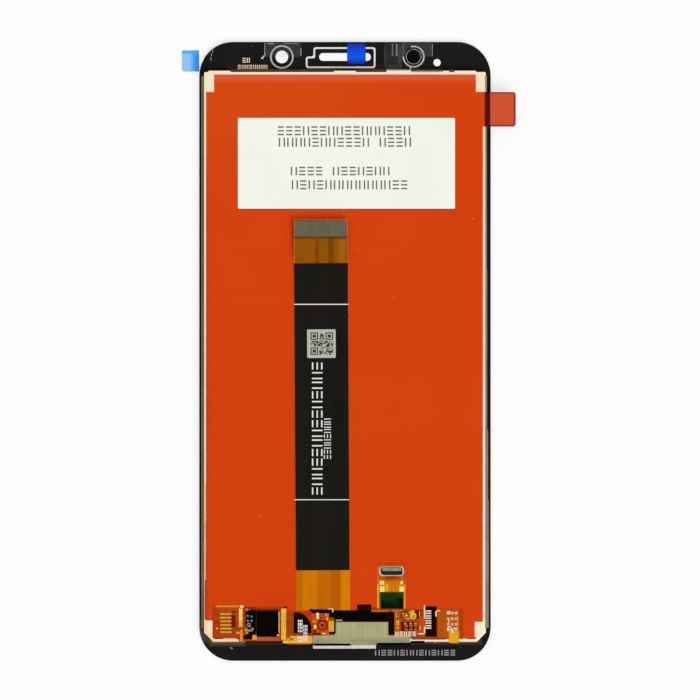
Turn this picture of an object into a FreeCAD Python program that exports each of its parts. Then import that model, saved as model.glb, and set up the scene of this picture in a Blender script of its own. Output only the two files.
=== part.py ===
import FreeCAD, Part
import math
import os

Vector = FreeCAD.Vector

# A phone LCD screen assembly, lying with its display side down.
# +Z points out of the back, +Y to the earpiece end, +X to the right seen from the back.
# The origin is the centre of the cover glass outline, on the outer face of the front film.

# Cover glass, mm
glass_width = 68.4
glass_length = 145.3
glass_thickness = 0.7
glass_corner_radius = 7.9
glass_front_round = 0.35
glass_rear_chamfer = 0.05
ink_margin = 0.06

# Borders from the glass edge to the backlight frame
side_border = 1.2
top_border = 7.21
bottom_border = 4.55

# Thicknesses through the stack, from the display side to the back
front_film_thickness = 0.06
ink_thickness = 0.03
adhesive_thickness = 0.15
sensor_thickness = 0.15
sensor_adhesive_thickness = 0.10
front_polariser_thickness = 0.13
filter_glass_thickness = 0.20
tft_glass_thickness = 0.20
rear_polariser_thickness = 0.12
rim_tape_thickness = 0.05
prism_thickness = 0.06
diffuser_thickness = 0.04
guide_thickness = 0.40
reflector_thickness = 0.05
rear_film_thickness = 0.06
label_thickness = 0.06
sticker_thickness = 0.05
coverlay_thickness = 0.05

# Backlight frame
frame_wall = 0.7
frame_ledge = 1.0
frame_corner_chamfer = 2.2
frame_top_radius = 0.4
frame_lug_height = 0.3
frame_rim_clearance = 0.03
frame_lugs = ((-32.0, -26.8), (-2.6, 2.6), (9.7, 15.5), (23.0, 24.4), (25.6, 30.7))

# Liquid crystal cell
cell_clearance = 0.05
tft_ledge = 3.7
tft_end_gap = 2.2
seal_margin = 1.35
polariser_inset = 0.35
active_margin = 0.3
driver_width = 24.0
driver_depth = 0.9
driver_height = 0.18
driver_gap = 0.6

# Backlight light source
led_count = 10
led_width = 3.0
led_depth = 0.9
led_lens_depth = 0.25
led_strip_overlap = 0.5
led_strip_margin = 1.75
led_end_gap = 1.0

# Rear protective film and its pull tab
film_side_inset = 0.5
film_right_inset = 0.72
film_top_inset = 0.64
film_bottom_inset = 0.9
top_notches = ((1.85, 4.05), (1.62, 4.05))
bottom_notches = ((1.5, 4.15), (1.9, 3.85))
reflector_inset = 0.2
tab_length = 7.72
tab_width = 8.1
tab_radius = 0.7

# Front film and its pull tab
front_film_inset = 0.3
front_tab_reach = 4.13
front_tab_width = 5.0
front_tab_from_top = 1.93
front_tab_gap = 0.05
front_tab_radius = 0.5

# Rear label
label_width = 50.84
label_height = 21.27
label_from_top = 10.76
label_shift = 0.34
label_radius = 0.3

# Fold at the bottom end, shared by the three flex circuits
fold_clearance = 0.05
exit_clearance = 0.05
exit_side_clearance = 0.15

# Display flex
flex_thickness = 0.12
body_left = -7.8
body_length = 7.55
body_step = 0.95
bond_length = 1.5
fold_left_margin = 0.3
fold_right_margin = 3.55
tail_from_left = 2.67
tail_width = 12.75
tail_label_gap = 2.79
tail_lean = 0.36
neck_length = 6.1
neck_inset = 0.1
neck_coverlay_gap = 0.15
tail_amber_length = 9.33
coverlay_inset = 0.08

# Main connector at the end of the tail
connector_height = 0.75
connector_length = 10.4
connector_width = 2.6
connector_wall = 0.7
connector_groove = 0.45
connector_chamfer = 0.15
contact_pitch = 0.4
contacts_per_side = 20
contact_width = 0.16
contact_reach = 0.3
contact_thickness = 0.1
contact_stem = 0.4
stiffener_thickness = 0.2
stiffener_length = 3.75
stiffener_radius = 0.25

# Sticker on the tail
code_size = 6.68
code_from_end = 32.16
code_radius = 0.2

# Branch tail with the small connector
branch_from_right = 7.75
branch_width = 6.6
branch_length = 10.9
branch_connector_length = 4.9
branch_connector_width = 1.6
branch_connector_height = 0.55
branch_end_wall = 0.4
branch_trough_width = 0.6
branch_trough_shift = 0.16
branch_chamfer = 0.12
branch_corner_radius = 0.5
branch_connector_from_end = 1.05
branch_contacts = 10
branch_contact_pitch = 0.35
patch_width = 5.3
patch_length = 4.0
patch_from_root = 0.2
branch_pad_width = 1.1
branch_pad_length = 0.95
branch_pad_gap = 0.1
branch_pad_inset = 0.45

# Shield and black coverlay over the display flex
shield_thickness = 0.08
shield_top = 4.7
shield_step = 1.6
shield_left_step = 5.15
shield_right_step = 5.15
shield_wrap = 40.0
cover_gap = 0.12
cover_edge_gap = 0.05
cover_step = 0.4
cover_bar_length = 0.7
cover_bump_reach = 1.28
cover_bump_width = 3.3
cover_bump_from_right = 4.0
cover_leg_width = 1.35

# Small parts on the display flex: how far in from a side, how far below the top, width, length
chip_height = 0.4
chip_end = 0.2
left_chips = ((1.55, 1.55, 0.8, 1.35), (0.7, 3.95, 0.7, 1.0), (2.55, 2.55, 0.7, 1.0))
right_chips = ((5.55, 1.45, 1.3, 0.75), (4.4, 4.1, 0.7, 1.2), (3.3, 4.1, 0.7, 1.2),
               (2.2, 4.1, 0.7, 1.2))
tantalum_width = 1.3
tantalum_length = 2.5
tantalum_height = 0.5
tantalum_chamfer = 0.1
tantalum_from_left = 4.55
tantalum_drop = 3.7
coil_from_right = 2.85
coil_drop = 1.35
coil_radius = 0.8
coil_core_radius = 0.42
coil_height = 0.45

# Touch flex and its controller
touch_thickness = 0.10
touch_gap = 0.25
touch_fold_width = 5.6
touch_bond_length = 1.4
touch_right_length = 7.1
touch_middle_width = 11.2
touch_middle_length = 8.2
touch_middle_gap = 0.15
touch_left_width = 6.1
touch_left_length = 7.5
touch_left_lift = 1.05
touch_corner_radius = 0.4
controller_width = 5.15
controller_length = 6.0
controller_height = 0.45
controller_from_fold = 1.95
controller_lift = 1.35
controller_chamfer = 0.12
bar_width = 0.85
wide_bar_width = 1.15
bar_gap = 0.15
bar_top_gap = 0.28
bar_thickness = 0.12
black_patch_width = 2.3
black_patch_length = 6.2
patch_gap = 0.12
patch_lift = 0.1
ball_radius = 0.26
ball_height = 0.2
balls = ((-0.75, 1.75), (0.15, 1.6), (-0.75, 0.6), (0.15, 0.6), (-0.3, -0.7), (0.1, -1.7))
finger_count = 6
finger_drop = 0.3
finger_pitch = 0.85
finger_width = 0.4
finger_length = 2.6
finger_thickness = 0.03
half_disc_width = 4.15
half_disc_length = 5.4
half_disc_gap = 0.1
half_disc_overhang = 0.2
half_disc_top_flat = 1.2
half_disc_side_flat = 1.9
half_disc_bulge_x = 3.2
half_disc_bulge_y = 1.3
half_disc_tuck = 0.15

# Backlight flex
led_flex_thickness = 0.10
led_tongue_width = 6.1
led_tongue_right_gap = 5.3
led_tongue_length = 7.8
led_tongue_rise = 0.75
led_tongue_radius = 0.3
led_leg_width = 2.3
led_leg_right_gap = 1.0
pad_rows = 4
pad_columns = 3
pad_size = 0.65
pad_pitch_x = 0.9
pad_pitch_y = 1.3
pad_thickness = 0.03
pad_shift = 0.45
joint_tape_gap = 0.12
joint_tape_width = 2.6
joint_tape_length = 7.1
joint_tape_lift = 1.3

# Spacer strips on the lower bezel: length and height of each
spacer_sizes = ((9.0, 0.8), (5.7, 1.25))
spacer_gap = 0.05
spacer_thickness = 0.15
spacer_from_edge = 2.9

# Openings and stickers on the upper bezel
opening_line = 3.55
earpiece_length = 11.9
earpiece_width = 1.6
earpiece_ink_margin = 0.12
camera_x = -14.82
camera_radius = 1.48
camera_ring_radius = 2.76
ring_line = 0.36
camera_film_width = 8.65
camera_film_height = 3.3
camera_film_shift = 0.24
proximity_x = 16.1
proximity_radius = 1.75
proximity_lift = 0.07
proximity_ring_radius = 2.59
proximity_ring_start = -180.0
proximity_ring_sweep = 285.0
stem_shift = 0.72
stem_length = 1.0
sensor_x = 21.6
sensor_radius = 0.85
sensor_drop = 1.33
outline_line = 0.39
outline_radius = 0.6
outline_right = 7.15
outline_left = 7.4
outline_rise = 2.28
outline_drop = 2.64
outline_foot = 1.8
outline_foot_lift = 0.08
blue_tape_x = 2.68
blue_tape_width = 4.4
blue_tape_length = 4.6
blue_tape_top_gap = 0.49
blue_tape_thickness = 0.06
blue_tape_radius = 0.6
proximity_film_x = 11.25
proximity_film_width = 4.2
proximity_film_length = 6.4
proximity_film_radius = 1.2
strip_width = 0.34
strip_length = 2.9
strip_spacing = 0.98
strip_shift = 0.38
strip_inset = 0.2
sensor_film_x = 17.0
sensor_film_width = 7.1
sensor_film_length = 3.2
sticker_top_gap = 0.25
sticker_radius = 0.3

# Levels through the stack, worked out from the thicknesses
z_glass = front_film_thickness
z_ink = z_glass + glass_thickness
z_adhesive = z_ink + ink_thickness
z_sensor = z_adhesive + adhesive_thickness
z_sensor_adhesive = z_sensor + sensor_thickness
z_polariser = z_sensor_adhesive + sensor_adhesive_thickness
z_filter = z_polariser + front_polariser_thickness
z_tft = z_filter + filter_glass_thickness
z_rear_polariser = z_tft + tft_glass_thickness
z_rim = z_rear_polariser + rear_polariser_thickness
z_films = z_rim + rim_tape_thickness
z_lower_prism = z_films + prism_thickness
z_diffuser = z_lower_prism + prism_thickness
z_guide = z_diffuser + diffuser_thickness
z_reflector = z_guide + guide_thickness
z_rear_film = z_reflector + reflector_thickness
z_back = z_rear_film + rear_film_thickness
z_frame_front = z_sensor_adhesive + frame_rim_clearance
z_flex_top = z_back + flex_thickness
z_touch_top = z_back + touch_thickness
z_led_flex_top = z_back + led_flex_thickness
z_tail_top = z_flex_top + connector_height

# Plan positions worked out from the glass
glass_half_width = glass_width / 2
glass_half_length = glass_length / 2
frame_half_width = glass_half_width - side_border
frame_top = glass_half_length - top_border
frame_bottom = -glass_half_length + bottom_border
cell_half_width = frame_half_width - frame_wall - cell_clearance
cell_top = frame_top - frame_wall - cell_clearance
tft_bottom = frame_bottom + frame_wall + tft_end_gap
filter_bottom = tft_bottom + tft_ledge
guide_half_width = frame_half_width - frame_wall - frame_ledge - cell_clearance
guide_top = frame_top - frame_wall - frame_ledge - cell_clearance
led_bottom = frame_bottom + frame_wall + cell_clearance
guide_bottom = led_bottom + led_depth + cell_clearance
films_bottom = guide_bottom + led_strip_overlap + cell_clearance
led_strip_half_width = guide_half_width - led_strip_margin
led_pitch = (2 * (led_strip_half_width - led_end_gap) - led_width) / (led_count - 1)
active_half_width = guide_half_width - active_margin
active_top = guide_top - active_margin
active_bottom = filter_bottom + seal_margin
fold_y = frame_bottom - fold_clearance
body_top = fold_y + body_length
label_bottom = frame_top - label_from_top - label_height
tail_end = label_bottom - tail_label_gap
opening_y = glass_half_length - opening_line
upright = Vector(0, 0, 1)

# Places along the fold, from the right side to the left
led_tongue_right = frame_half_width - led_tongue_right_gap
led_tongue_left = led_tongue_right - led_tongue_width
led_leg_right = led_tongue_right - led_leg_right_gap
led_leg_left = led_leg_right - led_leg_width
body_right = led_tongue_left - 2 * joint_tape_gap - joint_tape_width
fold_right = body_right - fold_right_margin
fold_left = body_left + fold_left_margin
tail_x = body_left + tail_from_left
branch_x = body_right - branch_from_right
touch_fold_right = body_left - touch_gap
touch_fold_left = touch_fold_right - touch_fold_width
z_touch_bond_top = z_sensor_adhesive + touch_thickness


def plate(x0, x1, y0, y1, z0, z1):
    return Part.makeBox(x1 - x0, y1 - y0, z1 - z0, Vector(x0, y0, z0))


def disc(x, y, radius, z0, z1):
    return Part.makeCylinder(radius, z1 - z0, Vector(x, y, z0), upright)


def prism(points, z0, z1):
    corners = [Vector(x, y, z0) for x, y in points]
    wire = Part.makePolygon(corners + corners[:1])
    return Part.Face(wire).extrude(Vector(0, 0, z1 - z0))


def upright_edges(shape):
    found = []
    for edge in shape.Edges:
        low, high = edge.Vertexes[0].Point, edge.Vertexes[-1].Point
        if abs(low.x - high.x) + abs(low.y - high.y) < 1e-6:
            found.append(edge)
    return found


def rounded_plate(x0, x1, y0, y1, z0, z1, radius):
    radius = min(radius, 0.49 * (x1 - x0), 0.49 * (y1 - y0))
    block = plate(x0, x1, y0, y1, z0, z1)
    return block.makeFillet(radius, upright_edges(block))


def level_edges(shape, z):
    return [edge for edge in shape.Edges if abs(edge.BoundBox.ZMin - z) < 1e-6
            and abs(edge.BoundBox.ZMax - z) < 1e-6]


def centred_plate(x, y, width, length, z0, z1):
    return plate(x - width / 2, x + width / 2, y - length / 2, y + length / 2, z0, z1)


def lean(shape):
    turned = shape.copy()
    turned.rotate(Vector(tail_x, body_top, 0), upright, tail_lean)
    return turned


def joined(shapes):
    return shapes[0].multiFuse(shapes[1:]).removeSplitter()


def write(node, shape):
    shape.exportStep("parts/" + node + ".step")


# Outline of the backlight frame, moved inwards by an even inset
def frame_blank(inset, z0, z1):
    half = frame_half_width - inset
    top = frame_top - inset
    bottom = frame_bottom + inset
    cut = max(frame_corner_chamfer - inset * (2 - math.sqrt(2)), 0.1)
    points = ((-half + cut, bottom), (half - cut, bottom), (half, bottom + cut), (half, top),
              (-half, top), (-half, bottom + cut))
    blank = prism(points, z0, z1)
    radius = frame_top_radius - inset
    if radius > 0:
        upper = [edge for edge in upright_edges(blank) if edge.BoundBox.YMin > top - 1e-6]
        blank = blank.makeFillet(radius, upper)
    return blank


# Front film with the tongue that carries its pull tab
def front_protective_film():
    half = glass_half_width - front_film_inset
    reach = glass_half_length - front_film_inset
    sheet = rounded_plate(-half, half, -reach, reach, 0, z_glass,
                          glass_corner_radius - front_film_inset)
    top = glass_half_length - front_tab_from_top
    tongue = rounded_plate(-glass_half_width - front_tab_reach, -half + front_tab_width,
                           top - front_tab_width, top, 0, z_glass, front_tab_radius)
    return joined([sheet, tongue])


def front_pull_tab():
    top = glass_half_length - front_tab_from_top
    right = -glass_half_width - front_tab_gap
    left = -glass_half_width - front_tab_reach
    tab = plate(left, right, top - front_tab_width, top, z_glass, z_glass + sticker_thickness)
    outer = [edge for edge in upright_edges(tab) if edge.BoundBox.XMax < left + 1e-6]
    return tab.makeFillet(front_tab_radius, outer)


def earpiece_slot(margin, z0, z1):
    half = earpiece_length / 2 + margin
    side = earpiece_width / 2 + margin
    middle = plate(-half + side, half - side, opening_y - side, opening_y + side, z0, z1)
    ends = [disc(end * (half - side), opening_y, side, z0, z1) for end in (-1, 1)]
    return joined([middle] + ends)


# Cover glass: soft edge on the display side, small chamfer on the back, earpiece slot through it
def cover_glass():
    blank = rounded_plate(-glass_half_width, glass_half_width, -glass_half_length,
                          glass_half_length, z_glass, z_ink, glass_corner_radius)
    blank = blank.makeFillet(glass_front_round, level_edges(blank, z_glass))
    blank = blank.makeChamfer(glass_rear_chamfer, level_edges(blank, z_ink))
    return blank.cut(earpiece_slot(0, z_glass, z_ink))


# Printed black border with its clear windows
def bezel_ink():
    half = glass_half_width - ink_margin
    reach = glass_half_length - ink_margin
    ink = rounded_plate(-half, half, -reach, reach, z_ink, z_adhesive,
                        glass_corner_radius - ink_margin)
    windows = [
        plate(-active_half_width, active_half_width, active_bottom, active_top, z_ink, z_adhesive),
        disc(camera_x, opening_y, camera_radius, z_ink, z_adhesive),
        disc(proximity_x, opening_y + proximity_lift, proximity_radius, z_ink, z_adhesive),
        disc(sensor_x, opening_y - sensor_drop, sensor_radius, z_ink, z_adhesive),
        earpiece_slot(earpiece_ink_margin, z_ink, z_adhesive)]
    return ink.cut(Part.makeCompound(windows))


# Clear adhesive: a sheet over the sensor area and the step that fills the ink window
def optical_adhesive():
    sheet = frame_blank(frame_wall, z_adhesive, z_sensor)
    step = plate(-active_half_width, active_half_width, active_bottom, active_top,
                 z_ink, z_adhesive)
    return joined([sheet, step])


def touch_sensor():
    return frame_blank(cell_clearance, z_sensor, z_sensor_adhesive)


def cell_sheet(inset, bottom, z0, z1):
    return plate(-cell_half_width + inset, cell_half_width - inset, bottom + inset,
                 cell_top - inset, z0, z1)


def driver_ic():
    y1 = filter_bottom - driver_gap
    half = driver_width / 2
    return plate(-half, half, y1 - driver_depth, y1, z_tft - driver_height, z_tft)


# Black tape ring between the cell and the backlight
def rim_tape():
    outer = cell_sheet(2 * polariser_inset, filter_bottom, z_rim, z_films)
    grow = active_margin / 2
    inner = plate(-active_half_width - grow, active_half_width + grow, active_bottom - grow,
                  active_top + grow, z_rim, z_films)
    return outer.cut(inner)


def backlight_sheet(bottom, z0, z1):
    sheet = plate(-guide_half_width, guide_half_width, bottom, guide_top, z0, z1)
    return sheet.common(frame_blank(frame_wall + cell_clearance, z0, z1))


# Moulded frame: wall, ledge under the cell, open well for the light guide, flex exits, lugs
def backlight_frame():
    body = frame_blank(0, z_frame_front, z_reflector)
    lugs = [plate(x0, x1, frame_top - frame_wall, frame_top + frame_lug_height,
                  z_rim, z_reflector) for x0, x1 in frame_lugs]
    lugs = [lug.common(plate(-frame_half_width + frame_top_radius,
                             frame_half_width - frame_top_radius,
                             frame_bottom, frame_top + frame_lug_height, z_rim, z_reflector))
            for lug in lugs]
    body = joined([body] + [lug for lug in lugs if lug.Solids])
    well = frame_blank(frame_wall, z_films, z_reflector)
    opening = plate(-guide_half_width - cell_clearance, guide_half_width + cell_clearance,
                    frame_bottom, guide_top + cell_clearance, z_films, z_reflector)
    body = body.cut(frame_blank(frame_wall, z_frame_front, z_films))
    body = body.cut(well.common(opening))
    return body.cut(Part.makeCompound(flex_exits()))


def flex_exits():
    exits = []
    for x0, x1, top in ((touch_fold_left, touch_fold_right, z_touch_bond_top),
                        (fold_left, fold_right, z_tft),
                        (led_leg_left, led_leg_right, z_guide)):
        exits.append(plate(x0 - exit_side_clearance, x1 + exit_side_clearance, frame_bottom,
                           frame_bottom + frame_wall, z_frame_front, top + exit_clearance))
    return exits


def reflector_film():
    sheet = plate(-frame_half_width + film_side_inset + reflector_inset,
                  frame_half_width - film_right_inset - reflector_inset,
                  frame_bottom + film_bottom_inset + reflector_inset,
                  frame_top - film_top_inset - reflector_inset, z_reflector, z_rear_film)
    return sheet.common(frame_blank(film_side_inset, z_reflector, z_rear_film))


# Red film with its four corner notches and the pull tab at the upper right
def rear_protective_film():
    left = -frame_half_width + film_side_inset
    right = frame_half_width - film_right_inset
    bottom = frame_bottom + film_bottom_inset
    top = frame_top - film_top_inset
    sheet = plate(left, right, bottom, top, z_rear_film, z_back)
    notches = []
    for (width, height), x0 in zip(top_notches, (left, right - top_notches[1][0])):
        notches.append(plate(x0, x0 + width, top - height, top, z_rear_film, z_back))
    for (width, height), x0 in zip(bottom_notches, (left, right - bottom_notches[1][0])):
        notches.append(plate(x0, x0 + width, bottom, bottom + height, z_rear_film, z_back))
    tab_y1 = top - top_notches[1][1]
    tab = plate(right - tab_radius, right + tab_length, tab_y1 - tab_width, tab_y1,
                z_rear_film, z_back)
    outer = [edge for edge in upright_edges(tab) if edge.BoundBox.XMin > right + tab_radius]
    tab = tab.makeFillet(tab_radius, outer)
    return joined([sheet.cut(Part.makeCompound(notches)), tab])


def rear_label():
    half = label_width / 2
    return rounded_plate(label_shift - half, label_shift + half, label_bottom,
                         label_bottom + label_height, z_back, z_back + label_thickness,
                         label_radius)


# Half ring about X that joins a flex's lower leg to its upper leg at the bottom edge
def fold(x0, x1, z_lower, z_upper, thickness):
    radius = (z_upper - z_lower) / 2
    centre = Vector(x0, fold_y, z_lower + radius)
    along = Vector(1, 0, 0)
    outer = Part.makeCylinder(radius + thickness, x1 - x0, centre, along)
    inner = Part.makeCylinder(radius, x1 - x0, centre, along)
    reach = radius + thickness
    half = plate(x0, x1, fold_y - reach, fold_y, centre.z - reach, centre.z + reach)
    return outer.cut(inner).common(half)


# Side profile of the tail's end: level, a soft rise over two tangent arcs, level again
def tail_rise(x0, x1, y0, y1, y2, z0, rise, thickness):
    run = y1 - y0
    turn = 2 * math.atan(rise / run)
    radius = run / (2 * math.sin(turn))
    middle = z0 + thickness / 2

    def first(offset, angle):
        r = radius - offset
        return Vector(x0, y0 + r * math.sin(angle), middle + radius - r * math.cos(angle))

    def second(offset, angle):
        r = radius + offset
        return Vector(x0, y1 - r * math.sin(angle),
                      middle + rise - radius + r * math.cos(angle))

    low, high = -thickness / 2, thickness / 2
    edges = [
        Part.Arc(first(low, 0), first(low, turn / 2), first(low, turn)).toShape(),
        Part.Arc(second(low, turn), second(low, turn / 2), second(low, 0)).toShape(),
        Part.makeLine(second(low, 0), Vector(x0, y2, middle + rise + low)),
        Part.makeLine(Vector(x0, y2, middle + rise + low), Vector(x0, y2, middle + rise + high)),
        Part.makeLine(Vector(x0, y2, middle + rise + high), second(high, 0)),
        Part.Arc(second(high, 0), second(high, turn / 2), second(high, turn)).toShape(),
        Part.Arc(first(high, turn), first(high, turn / 2), first(high, 0)).toShape(),
        Part.makeLine(first(high, 0), first(low, 0))]
    return Part.Face(Part.Wire(edges)).extrude(Vector(x1 - x0, 0, 0))


# Display flex: bonded under the glass ledge, folded round the edge, laid up the back
def display_flex():
    bond = plate(fold_left, fold_right, fold_y, tft_bottom + bond_length,
                 z_tft - flex_thickness, z_tft)
    bend = fold(fold_left, fold_right, z_tft, z_back, flex_thickness)
    lower = plate(fold_left, fold_right, fold_y, fold_y + body_step, z_back, z_flex_top)
    body = plate(body_left, body_right, fold_y + body_step, body_top, z_back, z_flex_top)
    half = tail_width / 2
    neck_start = tail_end - stiffener_length - neck_length
    tail = plate(tail_x - half, tail_x + half, body_top, neck_start, z_back, z_flex_top)
    narrow = half - neck_inset
    end = tail_rise(tail_x - narrow, tail_x + narrow, neck_start, neck_start + neck_length,
                    tail_end, z_back, connector_height, flex_thickness)
    root = plate(body_left, tail_x + narrow, body_top - body_step, body_top + body_step,
                 z_back, z_flex_top)
    branch = rounded_plate(branch_x - branch_width / 2, branch_x + branch_width / 2,
                           body_top - body_step, body_top + branch_length, z_back,
                           z_flex_top, branch_corner_radius)
    return joined([bond, bend, lower, body, lean(tail), lean(end), root, branch])


def tail_coverlay():
    half = tail_width / 2 - coverlay_inset
    y1 = tail_end - stiffener_length - neck_length - neck_coverlay_gap
    return lean(plate(tail_x - half, tail_x + half, body_top + tail_amber_length, y1,
                      z_flex_top, z_flex_top + coverlay_thickness))


def tail_stiffener():
    half = tail_width / 2 - neck_inset
    return lean(rounded_plate(tail_x - half, tail_x + half, tail_end - stiffener_length,
                              tail_end, z_tail_top, z_tail_top + stiffener_thickness,
                              stiffener_radius))


def connector_y():
    return tail_end - stiffener_length / 2


# Board-to-board plug under the tail's end, its mating groove facing the film
def main_connector_housing():
    block = centred_plate(tail_x, connector_y(), connector_length, connector_width,
                          z_back, z_back + connector_height)
    block = block.makeChamfer(connector_chamfer, upright_edges(block))
    groove = centred_plate(tail_x, connector_y(), connector_length - 2 * connector_wall,
                           connector_width - 2 * connector_wall, z_back,
                           z_back + connector_groove)
    return lean(block.cut(groove))


def main_connector_contacts():
    contacts = []
    start = tail_x - contact_pitch * (contacts_per_side - 1) / 2
    for side in (-1, 1):
        wall = connector_y() + side * connector_width / 2
        for index in range(contacts_per_side):
            x = start + index * contact_pitch
            foot_y = wall + side * contact_reach / 2
            z1 = z_back + connector_height
            foot = centred_plate(x, foot_y, contact_width, contact_reach,
                                 z1 - contact_thickness, z1)
            stem_y = wall + side * contact_thickness / 2
            stem = centred_plate(x, stem_y, contact_width, contact_thickness,
                                 z1 - contact_stem, z1)
            contacts.append(lean(joined([foot, stem])))
    return Part.makeCompound(contacts)


def tail_sticker():
    z0 = z_flex_top + coverlay_thickness
    return lean(rounded_plate(tail_x - code_size / 2, tail_x + code_size / 2,
                              tail_end - code_from_end, tail_end - code_from_end + code_size,
                              z0, z0 + sticker_thickness, code_radius))


def branch_connector_y():
    return (body_top + branch_length - branch_connector_from_end
            - branch_connector_width / 2)


# Small receptacle: a housing with an open trough along its top
def branch_connector_housing():
    block = centred_plate(branch_x, branch_connector_y(), branch_connector_length,
                          branch_connector_width, z_flex_top,
                          z_flex_top + branch_connector_height)
    block = block.makeChamfer(branch_chamfer, upright_edges(block))
    trough = centred_plate(branch_x, branch_connector_y() - branch_trough_shift,
                           branch_connector_length - 2 * branch_end_wall,
                           branch_trough_width,
                           z_flex_top + branch_connector_height / 2,
                           z_flex_top + branch_connector_height)
    return block.cut(trough)


def branch_connector_contacts():
    contacts = []
    start = branch_x - branch_contact_pitch * (branch_contacts - 1) / 2
    for side in (-1, 1):
        y = branch_connector_y() + side * (branch_connector_width / 2 + contact_reach / 2)
        for index in range(branch_contacts):
            contacts.append(centred_plate(start + index * branch_contact_pitch, y,
                                          contact_width, contact_reach, z_flex_top,
                                          z_flex_top + contact_thickness))
    return Part.makeCompound(contacts)


def branch_cover_patch():
    y0 = body_top + patch_from_root
    return plate(branch_x - patch_width / 2, branch_x + patch_width / 2, y0,
                 y0 + patch_length, z_flex_top, z_flex_top + coverlay_thickness)


def branch_pads():
    y = body_top + patch_from_root + patch_length + branch_pad_gap + branch_pad_length / 2
    reach = branch_width / 2 - branch_pad_width / 2 - branch_pad_inset
    return Part.makeCompound([centred_plate(branch_x + side * reach, y, branch_pad_width,
                                            branch_pad_length, z_flex_top,
                                            z_flex_top + pad_thickness) for side in (-1, 1)])


# Shield foil outline on the flex, and the part of it that starts round the fold
def flex_shield():
    top = fold_y + shield_top
    step = fold_y + shield_step
    x1 = fold_left + shield_left_step
    x2 = fold_right - shield_right_step
    points = ((fold_left, fold_y), (fold_right, fold_y), (fold_right, step), (x2, step),
              (x2, top), (x1, top), (x1, step), (fold_left, step))
    sheet = prism(points, z_flex_top, z_flex_top + shield_thickness)
    skin = fold(fold_left, fold_right, z_tft - flex_thickness, z_flex_top, shield_thickness)
    centre_z = (z_tft + z_back) / 2
    reach = z_flex_top - centre_z + shield_thickness
    drop = reach * math.cos(math.radians(shield_wrap))
    wrap = skin.common(plate(fold_left, fold_right, fold_y - reach, fold_y, centre_z + drop,
                             centre_z + reach))
    return joined([sheet, wrap])


# Black coverlay above the shield, with a bar to the left, a bump and a leg down the right
def black_coverlay():
    top = body_top - cover_edge_gap
    low = fold_y + shield_top + cover_gap
    left = fold_left + shield_left_step
    right = fold_right - shield_right_step + cover_gap
    leg = right + cover_leg_width
    bar_low = top - cover_bar_length
    leg_low = fold_y + shield_step + cover_gap
    bump_right = right - cover_bump_from_right
    bump_left = bump_right - cover_bump_width
    points = ((body_left, top), (body_left, bar_low), (left, bar_low), (left, low),
              (right, low), (right, leg_low), (leg, leg_low), (leg, top - cover_step),
              (bump_right, top - cover_step), (bump_right, top + cover_bump_reach),
              (bump_left, top + cover_bump_reach), (bump_left, top))
    return prism(points, z_flex_top, z_flex_top + coverlay_thickness)


def chip_places():
    places = [(body_left + x, body_top - y, w, l) for x, y, w, l in left_chips]
    return places + [(body_right - x, body_top - y, w, l) for x, y, w, l in right_chips]


# Chip parts: ceramic bodies and their soldered ends are separate solids
def chip_bodies():
    bodies = []
    for x, y, width, length in chip_places():
        along_x = width > length
        trim_x = 2 * chip_end if along_x else 0
        trim_y = 0 if along_x else 2 * chip_end
        bodies.append(centred_plate(x, y, width - trim_x, length - trim_y,
                                    z_flex_top, z_flex_top + chip_height))
    return Part.makeCompound(bodies)


def chip_terminals():
    ends = []
    for x, y, width, length in chip_places():
        for side in (-1, 1):
            if width > length:
                centre = (x + side * (width - chip_end) / 2, y)
                size = (chip_end, length)
            else:
                centre = (x, y + side * (length - chip_end) / 2)
                size = (width, chip_end)
            ends.append(centred_plate(centre[0], centre[1], size[0], size[1],
                                      z_flex_top, z_flex_top + chip_height))
    return Part.makeCompound(ends)


def tantalum_capacitor():
    block = centred_plate(body_left + tantalum_from_left, body_top - tantalum_drop,
                          tantalum_width, tantalum_length, z_flex_top,
                          z_flex_top + tantalum_height)
    return block.makeChamfer(tantalum_chamfer, level_edges(block, z_flex_top + tantalum_height))


def power_coil():
    x, y = body_right - coil_from_right, body_top - coil_drop
    body = disc(x, y, coil_radius, z_flex_top, z_flex_top + coil_height)
    core = disc(x, y, coil_core_radius, z_flex_top + coil_height / 2, z_flex_top + coil_height)
    return body.cut(core)


# Touch flex: bonded to the sensor, folded beside the display flex, then spread along the edge
def touch_flex():
    right, left = touch_fold_right, touch_fold_left
    bond = plate(left, right, fold_y, frame_bottom + touch_bond_length,
                 z_sensor_adhesive, z_touch_bond_top)
    bend = fold(left, right, z_touch_bond_top, z_back, touch_thickness)
    top = fold_y + touch_right_length
    upper = plate(left, right, fold_y, top, z_back, z_touch_top)
    middle_left = left - touch_middle_width
    middle = plate(middle_left, left, fold_y + touch_middle_gap,
                   fold_y + touch_middle_length, z_back, z_touch_top)
    end = rounded_plate(middle_left - touch_left_width, middle_left + 2 * touch_corner_radius,
                        fold_y + touch_left_lift,
                        fold_y + touch_left_lift + touch_left_length, z_back,
                        z_touch_top, touch_corner_radius)
    return joined([bond, bend, upper, middle, end])


def controller_centre():
    x1 = touch_fold_left - controller_from_fold
    return (x1 - controller_width / 2, fold_y + controller_lift + controller_length / 2)


def touch_controller_ic():
    x, y = controller_centre()
    block = centred_plate(x, y, controller_width, controller_length, z_touch_top,
                          z_touch_top + controller_height)
    return block.makeChamfer(controller_chamfer,
                             level_edges(block, z_touch_top + controller_height))


# Black patch beside the controller, with the solder balls on it
def patch_centre():
    x, y = controller_centre()
    return (x - controller_width / 2 - patch_gap - black_patch_width / 2, y + patch_lift)


def touch_black_patch():
    x, y = patch_centre()
    return centred_plate(x, y, black_patch_width, black_patch_length, z_touch_top,
                         z_touch_top + coverlay_thickness)


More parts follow.
